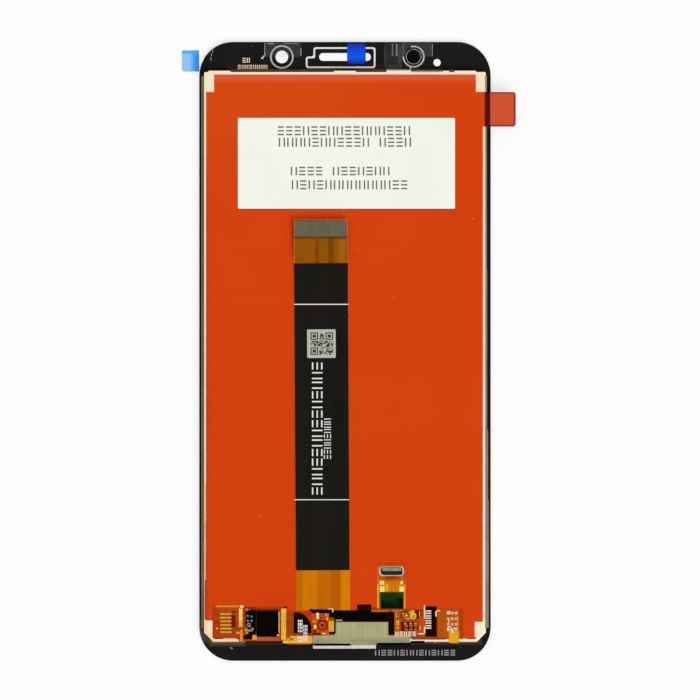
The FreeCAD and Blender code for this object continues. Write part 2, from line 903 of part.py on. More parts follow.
def touch_solder_balls():
    x, y = patch_centre()
    z0 = z_touch_top + coverlay_thickness
    return Part.makeCompound([Part.makeCone(ball_radius, ball_radius / 2, ball_height,
                                            Vector(x + dx, y + dy, z0), upright)
                              for dx, dy in balls])


def touch_bars():
    right_x = touch_fold_left - bar_gap - wide_bar_width / 2
    left_x = touch_fold_left - touch_middle_width + bar_width / 2
    low = fold_y + touch_middle_gap + bar_width / 2
    high = fold_y + touch_middle_length - bar_top_gap
    z1 = z_touch_top + bar_thickness
    right_bar = plate(right_x - wide_bar_width / 2, right_x + wide_bar_width / 2, low, high,
                      z_touch_top, z1)
    left_bar = plate(left_x - bar_width / 2, left_x + bar_width / 2, low + controller_length / 2,
                     high, z_touch_top, z1)
    return Part.makeCompound([right_bar, left_bar])


def touch_fingers():
    x1 = touch_fold_left - touch_middle_width - touch_left_width / 2 + finger_length / 2
    middle = fold_y + touch_left_lift + touch_left_length / 2 - finger_drop
    fingers = []
    for index in range(finger_count):
        y = middle + finger_pitch * (index - (finger_count - 1) / 2)
        fingers.append(plate(x1 - finger_length, x1, y - finger_width / 2,
                             y + finger_width / 2, z_touch_top,
                             z_touch_top + finger_thickness))
    return Part.makeCompound(fingers)


# Half-disc tape: straight on the left and below, bowed at the upper right
def half_disc_tape():
    x1 = touch_fold_right + half_disc_overhang
    x0 = x1 - half_disc_width
    y1 = fold_y + touch_right_length - half_disc_gap
    y0 = y1 - half_disc_length
    z0 = z_touch_top
    start = Vector(x0 + half_disc_top_flat, y1, z0)
    bulge = Vector(x0 + half_disc_bulge_x, y1 - half_disc_bulge_y, z0)
    end = Vector(x1, y0 + half_disc_side_flat, z0)
    foot = Vector(x1 - half_disc_tuck, y0, z0)
    low_corner = Vector(x0, y0, z0)
    high_corner = Vector(x0, y1, z0)
    edges = [Part.Arc(start, bulge, end).toShape(),
             Part.makeLine(end, foot),
             Part.makeLine(foot, low_corner),
             Part.makeLine(low_corner, high_corner),
             Part.makeLine(high_corner, start)]
    return Part.Face(Part.Wire(edges)).extrude(Vector(0, 0, coverlay_thickness))


# Backlight flex: strip under the light sources, a narrow leg folded to the back, a wide tongue
def led_flex():
    half = led_strip_half_width
    strip = plate(-half, half, led_bottom, guide_bottom + led_strip_overlap,
                  z_guide - led_flex_thickness, z_guide)
    leg = plate(led_leg_left, led_leg_right, fold_y, led_bottom,
                z_guide - led_flex_thickness, z_guide)
    bend = fold(led_leg_left, led_leg_right, z_guide, z_back, led_flex_thickness)
    tongue_low = fold_y + led_tongue_rise
    neck = plate(led_leg_left, led_leg_right, fold_y, tongue_low + led_tongue_radius,
                 z_back, z_led_flex_top)
    tongue = rounded_plate(led_tongue_left, led_tongue_right, tongue_low,
                           fold_y + led_tongue_length, z_back, z_led_flex_top,
                           led_tongue_radius)
    return joined([strip, leg, bend, neck, tongue])


def backlight_leds():
    leds = []
    for index in range(led_count):
        x = led_pitch * (index - (led_count - 1) / 2)
        body = plate(x - led_width / 2, x + led_width / 2, led_bottom,
                     led_bottom + led_depth - led_lens_depth, z_guide, z_reflector)
        lens = plate(x - led_width / 2 + led_lens_depth, x + led_width / 2 - led_lens_depth,
                     led_bottom + led_depth - led_lens_depth, led_bottom + led_depth,
                     z_guide, z_reflector)
        leds.append(joined([body, lens]))
    return Part.makeCompound(leds)


def led_pads():
    x = (led_tongue_left + led_tongue_right) / 2 + pad_shift
    top = fold_y + led_tongue_length - pad_size
    pads = []
    for row in range(pad_rows):
        for column in range(pad_columns):
            pads.append(centred_plate(x + pad_pitch_x * (column - (pad_columns - 1) / 2),
                                      top - pad_pitch_y * row - pad_size / 2, pad_size,
                                      pad_size, z_led_flex_top,
                                      z_led_flex_top + pad_thickness))
    return Part.makeCompound(pads)


def joint_tape():
    y0 = fold_y + joint_tape_lift
    return plate(body_right + joint_tape_gap, led_tongue_left - joint_tape_gap, y0,
                 y0 + joint_tape_length, z_back, z_led_flex_top)


def bezel_spacers():
    y0 = -glass_half_length + spacer_from_edge
    x0 = fold_left
    strips = []
    for length, height in spacer_sizes:
        strips.append(plate(x0, x0 + length, y0, y0 + height, z_adhesive,
                            z_adhesive + spacer_thickness))
        x0 = x0 + length + spacer_gap
    return Part.makeCompound(strips)


def ring(x, y, radius, z0, z1):
    return disc(x, y, radius, z0, z1).cut(disc(x, y, radius - ring_line, z0, z1))


def camera_ring():
    return ring(camera_x, opening_y, camera_ring_radius, z_adhesive,
                z_adhesive + sticker_thickness)


def upper_sticker(x, width, length, z0, radius):
    top = glass_half_length - sticker_top_gap
    return rounded_plate(x - width / 2, x + width / 2, top - length, top, z0,
                         z0 + sticker_thickness, radius)


def camera_film():
    return upper_sticker(camera_x + camera_film_shift, camera_film_width, camera_film_height,
                         z_adhesive + sticker_thickness, sticker_radius)


# Stepped outline round the earpiece slot
def earpiece_outline():
    def stepped(offset, z0, z1):
        right = outline_right - offset
        top = opening_y + outline_rise - offset
        bottom = opening_y - outline_drop + offset
        foot_left = -outline_left - outline_foot + offset
        foot_top = opening_y + outline_foot_lift - offset
        left = -outline_left + offset
        block = plate(left, right, bottom, top, z0, z1)
        foot = plate(foot_left, 0, bottom, foot_top, z0, z1)
        shape = joined([block, foot])
        return shape.makeFillet(outline_radius - offset / 2, upright_edges(shape))

    z0, z1 = z_adhesive, z_adhesive + sticker_thickness
    return stepped(0, z0, z1).cut(stepped(outline_line, z0, z1))


def blue_release_tape():
    z0 = z_adhesive + sticker_thickness
    top = glass_half_length - blue_tape_top_gap
    return rounded_plate(blue_tape_x - blue_tape_width / 2, blue_tape_x + blue_tape_width / 2,
                         top - blue_tape_length, top, z0, z0 + blue_tape_thickness,
                         blue_tape_radius)


# Open ring round the proximity window, with its short stem
def proximity_ring():
    z0, z1 = z_adhesive, z_adhesive + sticker_thickness
    y = opening_y + proximity_lift
    full = ring(proximity_x, y, proximity_ring_radius, z0, z1)
    wedge = Part.makeCylinder(proximity_ring_radius * 2, z1 - z0, Vector(proximity_x, y, z0),
                              upright, proximity_ring_sweep)
    wedge.rotate(Vector(proximity_x, y, z0), upright, proximity_ring_start)
    stem = centred_plate(proximity_x - stem_shift, y - proximity_ring_radius - stem_length / 4,
                         ring_line, stem_length, z0, z1)
    return joined([full.common(wedge), stem])


def proximity_filter():
    return disc(proximity_x, opening_y + proximity_lift, proximity_radius - cell_clearance,
                z_ink, z_adhesive)


def proximity_film():
    return upper_sticker(proximity_film_x, proximity_film_width, proximity_film_length,
                         z_adhesive, proximity_film_radius)


def silver_strips():
    z0 = z_adhesive + sticker_thickness
    top = glass_half_length - sticker_top_gap - strip_inset
    middle = proximity_film_x + strip_shift
    return Part.makeCompound([plate(x - strip_width / 2, x + strip_width / 2,
                                    top - strip_length, top, z0, z0 + sticker_thickness)
                              for x in (middle - strip_spacing / 2,
                                        middle + strip_spacing / 2)])


def sensor_film():
    return upper_sticker(sensor_film_x, sensor_film_width, sensor_film_length,
                         z_adhesive + sticker_thickness, sticker_radius)


os.makedirs("parts", exist_ok=True)

write("front_protective_film", front_protective_film())
write("front_pull_tab", front_pull_tab())
write("cover_glass", cover_glass())
write("bezel_ink", bezel_ink())
write("optical_adhesive", optical_adhesive())
write("touch_sensor", touch_sensor())
write("sensor_adhesive", cell_sheet(polariser_inset, filter_bottom, z_sensor_adhesive,
                                    z_polariser))
write("front_polariser", cell_sheet(polariser_inset, filter_bottom, z_polariser, z_filter))
write("colour_filter_glass", cell_sheet(0, filter_bottom, z_filter, z_tft))
write("tft_glass", cell_sheet(0, tft_bottom, z_tft, z_rear_polariser))
write("driver_ic", driver_ic())
write("rear_polariser", cell_sheet(polariser_inset, filter_bottom, z_rear_polariser, z_rim))
write("rim_tape", rim_tape())
write("upper_prism_film", backlight_sheet(films_bottom, z_films, z_lower_prism))
write("lower_prism_film", backlight_sheet(films_bottom, z_lower_prism, z_diffuser))
write("diffuser_film", backlight_sheet(films_bottom, z_diffuser, z_guide))
write("light_guide", backlight_sheet(guide_bottom, z_guide, z_reflector))
write("backlight_leds", backlight_leds())
write("backlight_frame", backlight_frame())
write("reflector_film", reflector_film())
write("rear_protective_film", rear_protective_film())
write("rear_label", rear_label())
write("display_flex", display_flex())
write("tail_coverlay", tail_coverlay())
write("tail_stiffener", tail_stiffener())
write("main_connector_housing", main_connector_housing())
write("main_connector_contacts", main_connector_contacts())
write("tail_sticker", tail_sticker())
write("branch_connector_housing", branch_connector_housing())
write("branch_connector_contacts", branch_connector_contacts())
write("branch_cover_patch", branch_cover_patch())
write("branch_pads", branch_pads())
write("flex_shield", flex_shield())
write("black_coverlay", black_coverlay())
write("chip_bodies", chip_bodies())
write("chip_terminals", chip_terminals())
write("tantalum_capacitor", tantalum_capacitor())
write("power_coil", power_coil())
write("touch_flex", touch_flex())
write("touch_controller_ic", touch_controller_ic())
write("touch_black_patch", touch_black_patch())
write("touch_solder_balls", touch_solder_balls())
write("touch_bars", touch_bars())
write("touch_fingers", touch_fingers())
write("half_disc_tape", half_disc_tape())
write("led_flex", led_flex())
write("led_pads", led_pads())
write("joint_tape", joint_tape())
write("bezel_spacers", bezel_spacers())
write("camera_ring", camera_ring())
write("camera_film", camera_film())
write("earpiece_outline", earpiece_outline())
write("blue_release_tape", blue_release_tape())
write("proximity_ring", proximity_ring())
write("proximity_filter", proximity_filter())
write("proximity_film", proximity_film())
write("silver_strips", silver_strips())
write("sensor_film", sensor_film())
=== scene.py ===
import bpy
import bmesh
import math
import random
from mathutils import Matrix, Vector
from mathutils.bvhtree import BVHTree


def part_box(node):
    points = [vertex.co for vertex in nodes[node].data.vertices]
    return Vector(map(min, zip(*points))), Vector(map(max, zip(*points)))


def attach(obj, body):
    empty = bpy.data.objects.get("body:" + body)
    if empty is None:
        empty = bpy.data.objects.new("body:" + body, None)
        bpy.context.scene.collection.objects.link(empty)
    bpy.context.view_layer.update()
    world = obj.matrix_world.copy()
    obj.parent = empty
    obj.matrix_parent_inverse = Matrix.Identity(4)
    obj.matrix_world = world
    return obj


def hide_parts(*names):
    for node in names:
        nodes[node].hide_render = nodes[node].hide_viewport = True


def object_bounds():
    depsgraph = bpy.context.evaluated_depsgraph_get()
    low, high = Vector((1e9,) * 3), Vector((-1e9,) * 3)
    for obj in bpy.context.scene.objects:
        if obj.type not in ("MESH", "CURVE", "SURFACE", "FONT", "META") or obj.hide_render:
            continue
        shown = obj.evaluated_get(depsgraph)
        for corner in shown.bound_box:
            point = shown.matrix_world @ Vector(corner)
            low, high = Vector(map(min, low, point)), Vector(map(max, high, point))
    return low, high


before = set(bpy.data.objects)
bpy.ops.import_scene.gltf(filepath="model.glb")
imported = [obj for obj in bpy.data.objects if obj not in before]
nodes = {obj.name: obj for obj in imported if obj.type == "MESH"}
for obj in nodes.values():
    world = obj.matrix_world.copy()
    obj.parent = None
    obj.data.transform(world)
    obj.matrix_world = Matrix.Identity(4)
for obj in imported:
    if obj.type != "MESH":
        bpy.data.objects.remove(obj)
cadLow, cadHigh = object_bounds()
print("frame loaded with", len(nodes), "nodes")

mm = 0.001
# the photograph's frame in pixels; x0 and y0 are the middle of the module
picture = {"size": 700, "perMm": 4.265, "x0": 345.0, "y0": 351.35}
printDepth = 0.012 * mm  # ink and silkscreen stand this far off what carries them


def across(x):  # picture column to metres
    return (x - picture["x0"]) / picture["perMm"] * mm


def up(y):  # picture row to metres
    return (picture["y0"] - y) / picture["perMm"] * mm


def surfaceOf(objects):  # one search tree over the solids, to set fine marks down on them
    corners, faces = [], []
    for item in objects:
        start = len(corners)
        corners += [v.co.copy() for v in item.data.vertices]
        faces += [[start + i for i in p.vertices] for p in item.data.polygons]
    return BVHTree.FromPolygons(corners, faces)


solids = surfaceOf(nodes.values())
probe = {"above": 100 * mm, "places": ((0.5, 0.5), (0.1, 0.1), (0.1, 0.9), (0.9, 0.1), (0.9, 0.9))}


def restHeight(x0, y0, x1, y1):  # highest solid under a mark's middle and near its corners
    found = []
    for shareX, shareY in probe["places"]:
        start = Vector((x0 + (x1 - x0) * shareX, y0 + (y1 - y0) * shareY, probe["above"]))
        hit = solids.ray_cast(start, Vector((0, 0, -1)))[0]
        if hit:
            found.append(hit.z)
    return max(found)


def topOf(name):
    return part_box(name)[1].z


def tone(red, green, blue):  # 0 to 255 as read off a screen, made linear
    def linear(v):
        v = v / 255
        return v / 12.92 if v <= 0.04045 else ((v + 0.055) / 1.055) ** 2.4
    return (linear(red), linear(green), linear(blue), 1.0)


# nodes: each feed is another node's output or a plain value
def put(tree, kind, feeds=None, **settings):
    node = tree.nodes.new(kind)
    for key, value in settings.items():
        setattr(node, key, value)
    for label, feed in (feeds or {}).items():
        if isinstance(feed, bpy.types.NodeSocket):
            tree.links.new(feed, node.inputs[label])
        else:
            node.inputs[label].default_value = feed
    return node


def sums(tree, operation, *sources):
    return put(tree, "ShaderNodeMath", dict(enumerate(sources)), operation=operation).outputs[0]


def vectors(tree, operation, *sources):
    return put(tree, "ShaderNodeVectorMath", dict(enumerate(sources)), operation=operation).outputs


def ramp(tree, value, low, high, toLow=0.0, toHigh=1.0, kind="LINEAR"):
    feeds = {"Value": value, "From Min": low, "From Max": high, "To Min": toLow, "To Max": toHigh}
    return put(tree, "ShaderNodeMapRange", feeds, interpolation_type=kind).outputs["Result"]


def noise(tree, detail, feeds, **settings):
    return put(tree, "ShaderNodeTexNoise", {"Detail": detail, **feeds}, **settings).outputs["Fac"]


# what each surface effect adds: the share of its second shade, and perhaps relief and gloss
texture = {
    "cloud": (0.35, 0.65), "grain": (0.3, 0.7),  # most of each noise lies between these
    "lineEdge": (-0.3, 0.5), "bundleEdge": (0.4, 0.55), "bundleShare": 0.5,
    "rareness": 0.7, "dust": (0.8, 0.78, 0.74, 1.0),
}


def mottleNodes(tree, given, where):  # cloudy patches, and a fine grain for gloss and relief
    patches = noise(tree, 3.0, {"Vector": where, "Scale": given["Patches"]})
    grain = noise(tree, 2.0, {"Vector": where, "Scale": given["Grain"]})
    return {"share": sums(tree, "MULTIPLY", ramp(tree, patches, *texture["cloud"]), given["Amount"]),
            "relief": sums(tree, "MULTIPLY", grain, given["Relief"]),
            "gloss": ramp(tree, grain, *texture["grain"], given["Gloss low"], given["Gloss high"])}


def streakNodes(tree, given, where):  # lines drawn out along one way, as brushing, rolling or fibres leave
    stretched = vectors(tree, "MULTIPLY", where, given["Stretch"])[0]
    lines = ramp(tree, noise(tree, 3.0, {"Vector": stretched, "Scale": 1.0}), *texture["cloud"])
    return {"share": sums(tree, "MULTIPLY", lines, given["Amount"]),
            "relief": sums(tree, "MULTIPLY", lines, given["Relief"])}


def conductorNodes(tree, given, where):  # copper lines that show through the sheet of a flex circuit
    along = vectors(tree, "DOT_PRODUCT", where, given["Way"])["Value"]
    turns = sums(tree, "MULTIPLY", along, given["Lines"])
    wave = sums(tree, "SINE", sums(tree, "MULTIPLY", turns, 2 * math.pi))
    edge = ramp(tree, wave, *texture["lineEdge"], kind="SMOOTHSTEP")
    place = sums(tree, "MULTIPLY", along, given["Bundles"])
    clumps = noise(tree, 1.0, {"W": place, "Scale": 1.0}, noise_dimensions="1D")
    bundle = ramp(tree, clumps, *texture["bundleEdge"])
    lines = sums(tree, "MULTIPLY", edge, bundle)
    fine = sums(tree, "MULTIPLY", lines, 1 - texture["bundleShare"])
    both = sums(tree, "ADD", fine, sums(tree, "MULTIPLY", bundle, texture["bundleShare"]))
    return {"share": sums(tree, "MULTIPLY", both, given["Amount"]),
            "relief": sums(tree, "MULTIPLY", lines, given["Relief"])}


def sweepNodes(tree, given, where):  # a slow change of shade from one side to the other
    along = vectors(tree, "DOT_PRODUCT", where, given["Way"])["Value"]
    return {"share": ramp(tree, along, given["From"], given["To"], kind="SMOOTHSTEP")}


def fieldNodes(tree, given, where):  # another colour inside an upright box, with a soft edge
    away = vectors(tree, "ABSOLUTE", vectors(tree, "SUBTRACT", where, given["Middle"])[0])[0]
    depths = vectors(tree, "SUBTRACT", given["Half"], away)[0]
    inside = put(tree, "ShaderNodeSeparateXYZ", {0: depths}).outputs
    return {"share": sums(tree, "DIVIDE", sums(tree, "MINIMUM", inside[0], inside[1]), given["Edge"])}


def dustNodes(tree, given, where):  # pale specks, few and small
    cells = put(tree, "ShaderNodeTexVoronoi", {"Vector": where, "Scale": given["Specks"]}).outputs
    near = sums(tree, "LESS_THAN", cells["Distance"], given["Size"])
    pick = put(tree, "ShaderNodeSeparateColor", {0: cells["Color"]}).outputs[0]
    specks = sums(tree, "MULTIPLY", near, sums(tree, "GREATER_THAN", pick, texture["rareness"]))
    return {"share": sums(tree, "MULTIPLY", specks, given["Amount"])}


def addSocket(group, label, side):
    kind = "Float"
    if label in ("Colour", "Shade"):
        kind = "Color"
    elif label in ("Way", "Stretch", "Middle", "Half"):
        kind = "Vector"
    group.interface.new_socket(name=label, in_out=side, socket_type="NodeSocket" + kind)


def buildEffect(name, addNodes, *labels):
    # a node group that takes colour and height and hands them on with its own shade and relief laid over
    group = bpy.data.node_groups.new(name, "ShaderNodeTree")
    for label in ("Colour", "Height", "Shade") + labels:
        addSocket(group, label, "INPUT")
    given = put(group, "NodeGroupInput").outputs
    added = addNodes(group, given, put(group, "ShaderNodeTexCoord").outputs["Object"])
    mix = put(group, "ShaderNodeMix", {"Factor": added["share"], "A": given["Colour"], "B": given["Shade"]},
              data_type="RGBA", clamp_factor=True)
    results = {"Colour": mix.outputs["Result"], "Height": given["Height"]}
    if "relief" in added:
        results["Height"] = sums(group, "ADD", added["relief"], given["Height"])
    if "gloss" in added:
        results["Roughness"] = added["gloss"]
    for label in results:
        addSocket(group, label, "OUTPUT")
    put(group, "NodeGroupOutput", results)
    return group


effects = {
    "mottle": buildEffect("mottle", mottleNodes, "Amount", "Patches", "Grain", "Relief",
                          "Gloss low", "Gloss high"),
    "streaks": buildEffect("streaks", streakNodes, "Amount", "Stretch", "Relief"),
    "conductors": buildEffect("conductors", conductorNodes, "Amount", "Way", "Lines", "Bundles", "Relief"),
    "sweep": buildEffect("sweep", sweepNodes, "Way", "From", "To"),
    "field": buildEffect("field", fieldNodes, "Middle", "Half", "Edge"),
    "dust": buildEffect("dust", dustNodes, "Amount", "Specks", "Size"),
}
print("surface effects built")


# one step of a finish: the effect's name and what goes into its sockets
def mottle(shade, amount, patches, grain, relief, gloss):
    return "mottle", {"Shade": tone(*shade), "Amount": amount, "Patches": patches, "Grain": grain,
                      "Relief": relief, "Gloss low": gloss[0], "Gloss high": gloss[1]}


def streaks(shade, amount, stretch, relief):
    return "streaks", {"Shade": tone(*shade), "Amount": amount, "Stretch": stretch, "Relief": relief}


def conductors(shade, amount, lines, bundles, relief, way=(1, 0, 0)):
    return "conductors", {"Shade": tone(*shade), "Amount": amount, "Way": way, "Lines": lines,
                          "Bundles": bundles, "Relief": relief}


def sweepUp(shade, start, stop):  # from one picture row to another
    return "sweep", {"Shade": tone(*shade), "Way": (0, 1, 0), "From": up(start), "To": up(stop)}


def sweepAcross(shade, start, stop):  # from one picture column to another
    return "sweep", {"Shade": tone(*shade), "Way": (1, 0, 0), "From": across(start), "To": across(stop)}


def field(shade, left, top, right, bottom, edge=0.15):  # bounds in picture pixels, edge in millimetres
    x0, x1, y0, y1 = across(left), across(right), up(bottom), up(top)
    return "field", {"Shade": tone(*shade), "Middle": ((x0 + x1) / 2, (y0 + y1) / 2, 0),
                     "Half": ((x1 - x0) / 2, (y1 - y0) / 2, 1), "Edge": edge * mm}


def dust(amount=0.3, specks=900, size=0.05):
    return "dust", {"Shade": texture["dust"], "Amount": amount, "Specks": specks, "Size": size}


materials = {}
shaderSockets = {
    "specular": "Specular IOR Level", "metallic": "Metallic", "roughness": "Roughness", "alpha": "Alpha",
    "transmission": "Transmission Weight", "ior": "IOR",
    "subsurface": "Subsurface Weight", "subsurfaceScale": "Subsurface Scale",
}


def addFinish(name, base, *steps, bump=0.4, depth=0.01, clear=False, **plain):
    # a base colour, effects laid over it in order, relief in millimetres, and the shader's plain settings
    material = bpy.data.materials.new(name)
    material.use_nodes = True
    tree = material.node_tree
    tree.nodes.clear()
    settings = {"Base Color": tone(*base), "Roughness": 0.4}
    settings.update({shaderSockets[key]: value for key, value in plain.items()})
    shader = put(tree, "ShaderNodeBsdfPrincipled", settings)
    over = {"Colour": tone(*base)}
    for kind, inputs in steps:
        step = put(tree, "ShaderNodeGroup", {**over, **inputs}, node_tree=effects[kind])
        over = {"Colour": step.outputs["Colour"], "Height": step.outputs["Height"]}
        if kind == "mottle":
            tree.links.new(step.outputs["Roughness"], shader.inputs["Roughness"])
    if steps:
        bumped = put(tree, "ShaderNodeBump",
                     {"Strength": bump, "Distance": depth * mm, "Height": over["Height"]})
        tree.links.new(over["Colour"], shader.inputs["Base Color"])
        tree.links.new(bumped.outputs["Normal"], shader.inputs["Normal"])
    surface = shader.outputs[0]
    if clear:  # lamps shine through, so what lies behind is lit
        path = put(tree, "ShaderNodeLightPath").outputs
        through = put(tree, "ShaderNodeBsdfTransparent").outputs[0]
        mix = put(tree, "ShaderNodeMixShader", {0: path["Is Shadow Ray"], 1: surface, 2: through})
        surface = mix.outputs[0]
    put(tree, "ShaderNodeOutputMaterial", {"Surface": surface})
    materials[name] = material


# finishes of the back, from the red film down
addFinish("redFilm", (172, 58, 34),
          field((212, 64, 6), 206.2, 73, 482.4, 638.2, 0.9),
          sweepUp((214, 72, 12), 300, 72),
          sweepAcross((214, 63, 8), 300, 470),
          field((222, 90, 52), 207, 60, 481.5, 84, 1.2),
          # painted shadow: a dark line along the label's lower edge
          field((140, 34, 44), 238, 200, 455, 209.9),
          field((126, 52, 56), 486, 88, 520, 130, 0.12),
          field((208, 84, 54), 486, 93.4, 514, 125.4, 0.2),
          field((200, 87, 48), 494, 108, 513, 124, 1.2),
          streaks((190, 52, 12), 0.1, (25, 700, 25), 0.05),
          mottle((218, 76, 20), 0.22, 38, 5200, 0.1, (0.26, 0.4)),
          field((84, 10, 6), 484, 88, 490.7, 130, 0.26),
          dust(0.25, 260, 0.035),
          bump=0.35, depth=0.02, specular=0.05)
addFinish("label", (247, 248, 238),
          streaks((238, 238, 224), 0.25, (260, 2600, 260), 0.25),
          mottle((240, 242, 230), 0.5, 90, 6500, 0.6, (0.48, 0.62)),
          dust(0.15, 500, 0.04),
          bump=0.35, specular=0.3)
addFinish("bezelInk", (22, 21, 21),
          # painted highlight: four soft pale fields along the border's lower edge and round its lower left
          # corner
          field((76, 72, 64), 195, 616, 216, 645, 1.2),
          field((70, 42, 20), 240, 636, 300, 646.4, 0.9),
          field((116, 106, 82), 208, 634, 246, 647.5, 1.3),
          field((90, 78, 56), 404, 636, 483, 646, 1),
          field((60, 24, 20), 225, 62, 275, 74, 1.2),
          field((62, 24, 24), 330, 63, 420, 74, 1.2),
          mottle((30, 29, 28), 0.6, 60, 7000, 0.4, (0.38, 0.55)),
          dust(0.35, 700),
          bump=0.3, depth=0.006, specular=0.07)
addFinish("frameWhite", (255, 247, 226),
          sweepAcross((255, 210, 174), 300, 215),
          sweepUp((255, 232, 204), 560, 120),
          # painted shade: darker along the frame's lower outer edge and down its side wall
          sweepUp((170, 150, 124), 640.5, 641.8),
          field((246, 172, 138), 204.5, 482, 207.6, 619.6, 0.1),
          field((236, 140, 106), 204.5, 516, 207.6, 619.6, 0.1),
          mottle((240, 220, 190), 0.4, 260, 5200, 0.5, (0.4, 0.55)),
          dust(),
          depth=0.012, specular=0.4, subsurface=0.15, subsurfaceScale=0.0004)
addFinish("tailCover", (21, 19, 15),
          conductors((33, 29, 22), 0.5, 2100, 330, 0.8),
          mottle((28, 24, 20), 0.6, 90, 6000, 0.3, (0.34, 0.5)),
          dust(0.3, 800),
          bump=0.45, depth=0.012, specular=0.08)
addFinish("blackSheetAndShadow", (6, 3, 3),
          field((26, 3, 2), 293, 608, 313, 640, 0.3),
          field((34, 3, 3), 425, 600, 437, 640, 0.3),
          field((44, 6, 4), 308, 606, 392, 610.4),
          field((34, 3, 3), 386, 612, 393, 640, 0.2),
          mottle((12, 9, 8), 0.5, 140, 6000, 0.4, (0.36, 0.52)),
          dust(0.35),
          specular=0.02)
# polyimide over copper: dark by the tail's neck, bright by the fold
addFinish("displayFlex", (190, 100, 1),
          field((206, 120, 1), 301.5, 540, 317.5, 613, 0.35),
          field((176, 86, 1), 329.5, 540, 339.5, 613, 0.25),
          field((214, 128, 4), 340.5, 540, 352, 613, 0.25),
          field((196, 66, 12), 372, 540, 410, 581, 0.4),
          field((136, 44, 5), 384, 574, 400, 579.5, 0.4),
          field((206, 118, 10), 379, 580, 403, 592, 0.5),
          field((214, 150, 24), 383.5, 582.5, 390, 592, 0.4),
          field((96, 84, 14), 378.9, 591.6, 382, 608, 0.12),
          field((152, 66, 6), 388, 608, 424, 634, 0.3),
          field((188, 58, 22), 418.4, 608, 425, 633, 0.2),
          field((132, 38, 16), 416.8, 600, 426, 616.6, 0.2),
          field((178, 104, 66), 391.6, 610, 394.6, 632, 0.2),
          field((112, 58, 36), 410, 634, 437, 639.5, 0.2),
          field((112, 50, 12), 328.5, 609, 337, 619.5, 0.3),
          field((190, 62, 22), 309, 610, 329, 633.5, 0.3),
          field((92, 36, 16), 309, 631.8, 322, 636, 0.2),
          conductors((222, 128, 10), 0.25, 2400, 520, 0.8),
          field((140, 80, 1), 285, 200, 352, 275, 0.3),
          field((158, 94, 6), 338.4, 239, 346, 275, 0.2),
          field((120, 65, 1), 314.5, 200, 319.5, 275, 0.25),
          field((118, 62, 1), 327.5, 200, 334.5, 275, 0.3),
          # painted shadow: a dark band along the stiffener's lower edge
          field((92, 56, 16), 292, 230, 350, 239.4, 0.25),
          mottle((176, 84, 2), 0.2, 220, 5200, 0.2, (0.24, 0.38)),
          dust(0.2),
          bump=0.5, depth=0.012, specular=0.04)
addFinish("touchFlex", (174, 58, 4),
          field((168, 66, 10), 225, 606, 243, 640, 0.8),
          field((214, 104, 26), 214, 603, 240, 608.4, 0.4),
          field((158, 64, 3), 286, 608, 294, 636, 0.3),
          field((190, 96, 70), 256, 636, 280, 641, 0.3),
          field((74, 22, 6), 244.5, 606, 256.5, 626, 0.3),
          field((120, 64, 16), 244.5, 626, 256.5, 634, 0.3),
          field((72, 18, 6), 253, 608, 281, 611, 0.2),
          conductors((200, 96, 14), 0.3, 1900, 620, 0.8, way=(0, 1, 0)),
          mottle((130, 34, 6), 0.3, 300, 5200, 0.2, (0.24, 0.38)),
          dust(0.2),
          bump=0.5, depth=0.012, specular=0.04)
addFinish("lightFlex", (180, 80, 2),
          field((140, 66, 24), 436, 604, 438.4, 640, 0.3),
          field((176, 62, 4), 458, 600, 464, 640, 0.5),
          field((246, 190, 14), 448, 630, 460, 646, 0.6),
          # painted shade: the tab's end is darker where it dips over the frame's edge
          field((62, 30, 4), 440, 642.3, 466, 660, 0.12),
          conductors((206, 106, 8), 0.3, 1700, 460, 0.8),
          mottle((150, 56, 2), 0.2, 300, 5200, 0.2, (0.24, 0.38)),
          dust(0.2),
          bump=0.5, depth=0.012, specular=0.04)
addFinish("stiffPlate", (118, 112, 90),
          streaks((86, 82, 64), 0.6, (5200, 140, 140), 0.5),
          mottle((130, 120, 92), 0.4, 420, 5200, 0.4, (0.34, 0.5)),
          dust(0.4),
          bump=0.5, depth=0.012, metallic=0.35)
addFinish("shieldFoil", (198, 194, 146),
          sweepUp((138, 132, 102), 634, 644),
          streaks((158, 154, 110), 0.75, (4300, 90, 90), 0.7),
          mottle((206, 204, 158), 0.4, 260, 5200, 0.3, (0.34, 0.5)),
          dust(0.35),
          bump=0.6, depth=0.014, metallic=0.35)
addFinish("goldPlate", (238, 186, 70),
          mottle((212, 148, 46), 0.6, 700, 6000, 0.5, (0.22, 0.4)), bump=0.5, metallic=0.25)
addFinish("solder", (206, 204, 196),
          mottle((150, 148, 142), 0.6, 900, 4200, 0.8, (0.2, 0.45)), bump=0.6, depth=0.02, metallic=0.6)
addFinish("barYellow", (232, 176, 40),
          field((255, 214, 132), 238, 600, 245, 621, 0.1),
          field((206, 130, 46), 238, 621, 245, 642, 0.1),
          conductors((196, 132, 20), 0.6, 900, 700, 0.5, way=(0, 1, 0)),
          mottle((246, 206, 96), 0.5, 900, 5200, 0.4, (0.35, 0.5)),
          bump=0.5, depth=0.02, specular=0.2)
addFinish("chipMould", (5, 2, 2),
          mottle((12, 6, 5), 0.6, 500, 9000, 0.7, (0.42, 0.6)),
          dust(0.35, 1500, 0.06),
          bump=0.6, specular=0.02)
addFinish("ceramic", (148, 64, 30),
          # painted light: the outlines along the tail's neck are brighter here, lifting the shade that
          # falls on them
          field((216, 112, 40), 290, 216, 352, 264, 0.1),
          mottle((118, 44, 20), 0.5, 900, 7000, 0.5, (0.3, 0.5)),
          bump=0.5, specular=0.1)
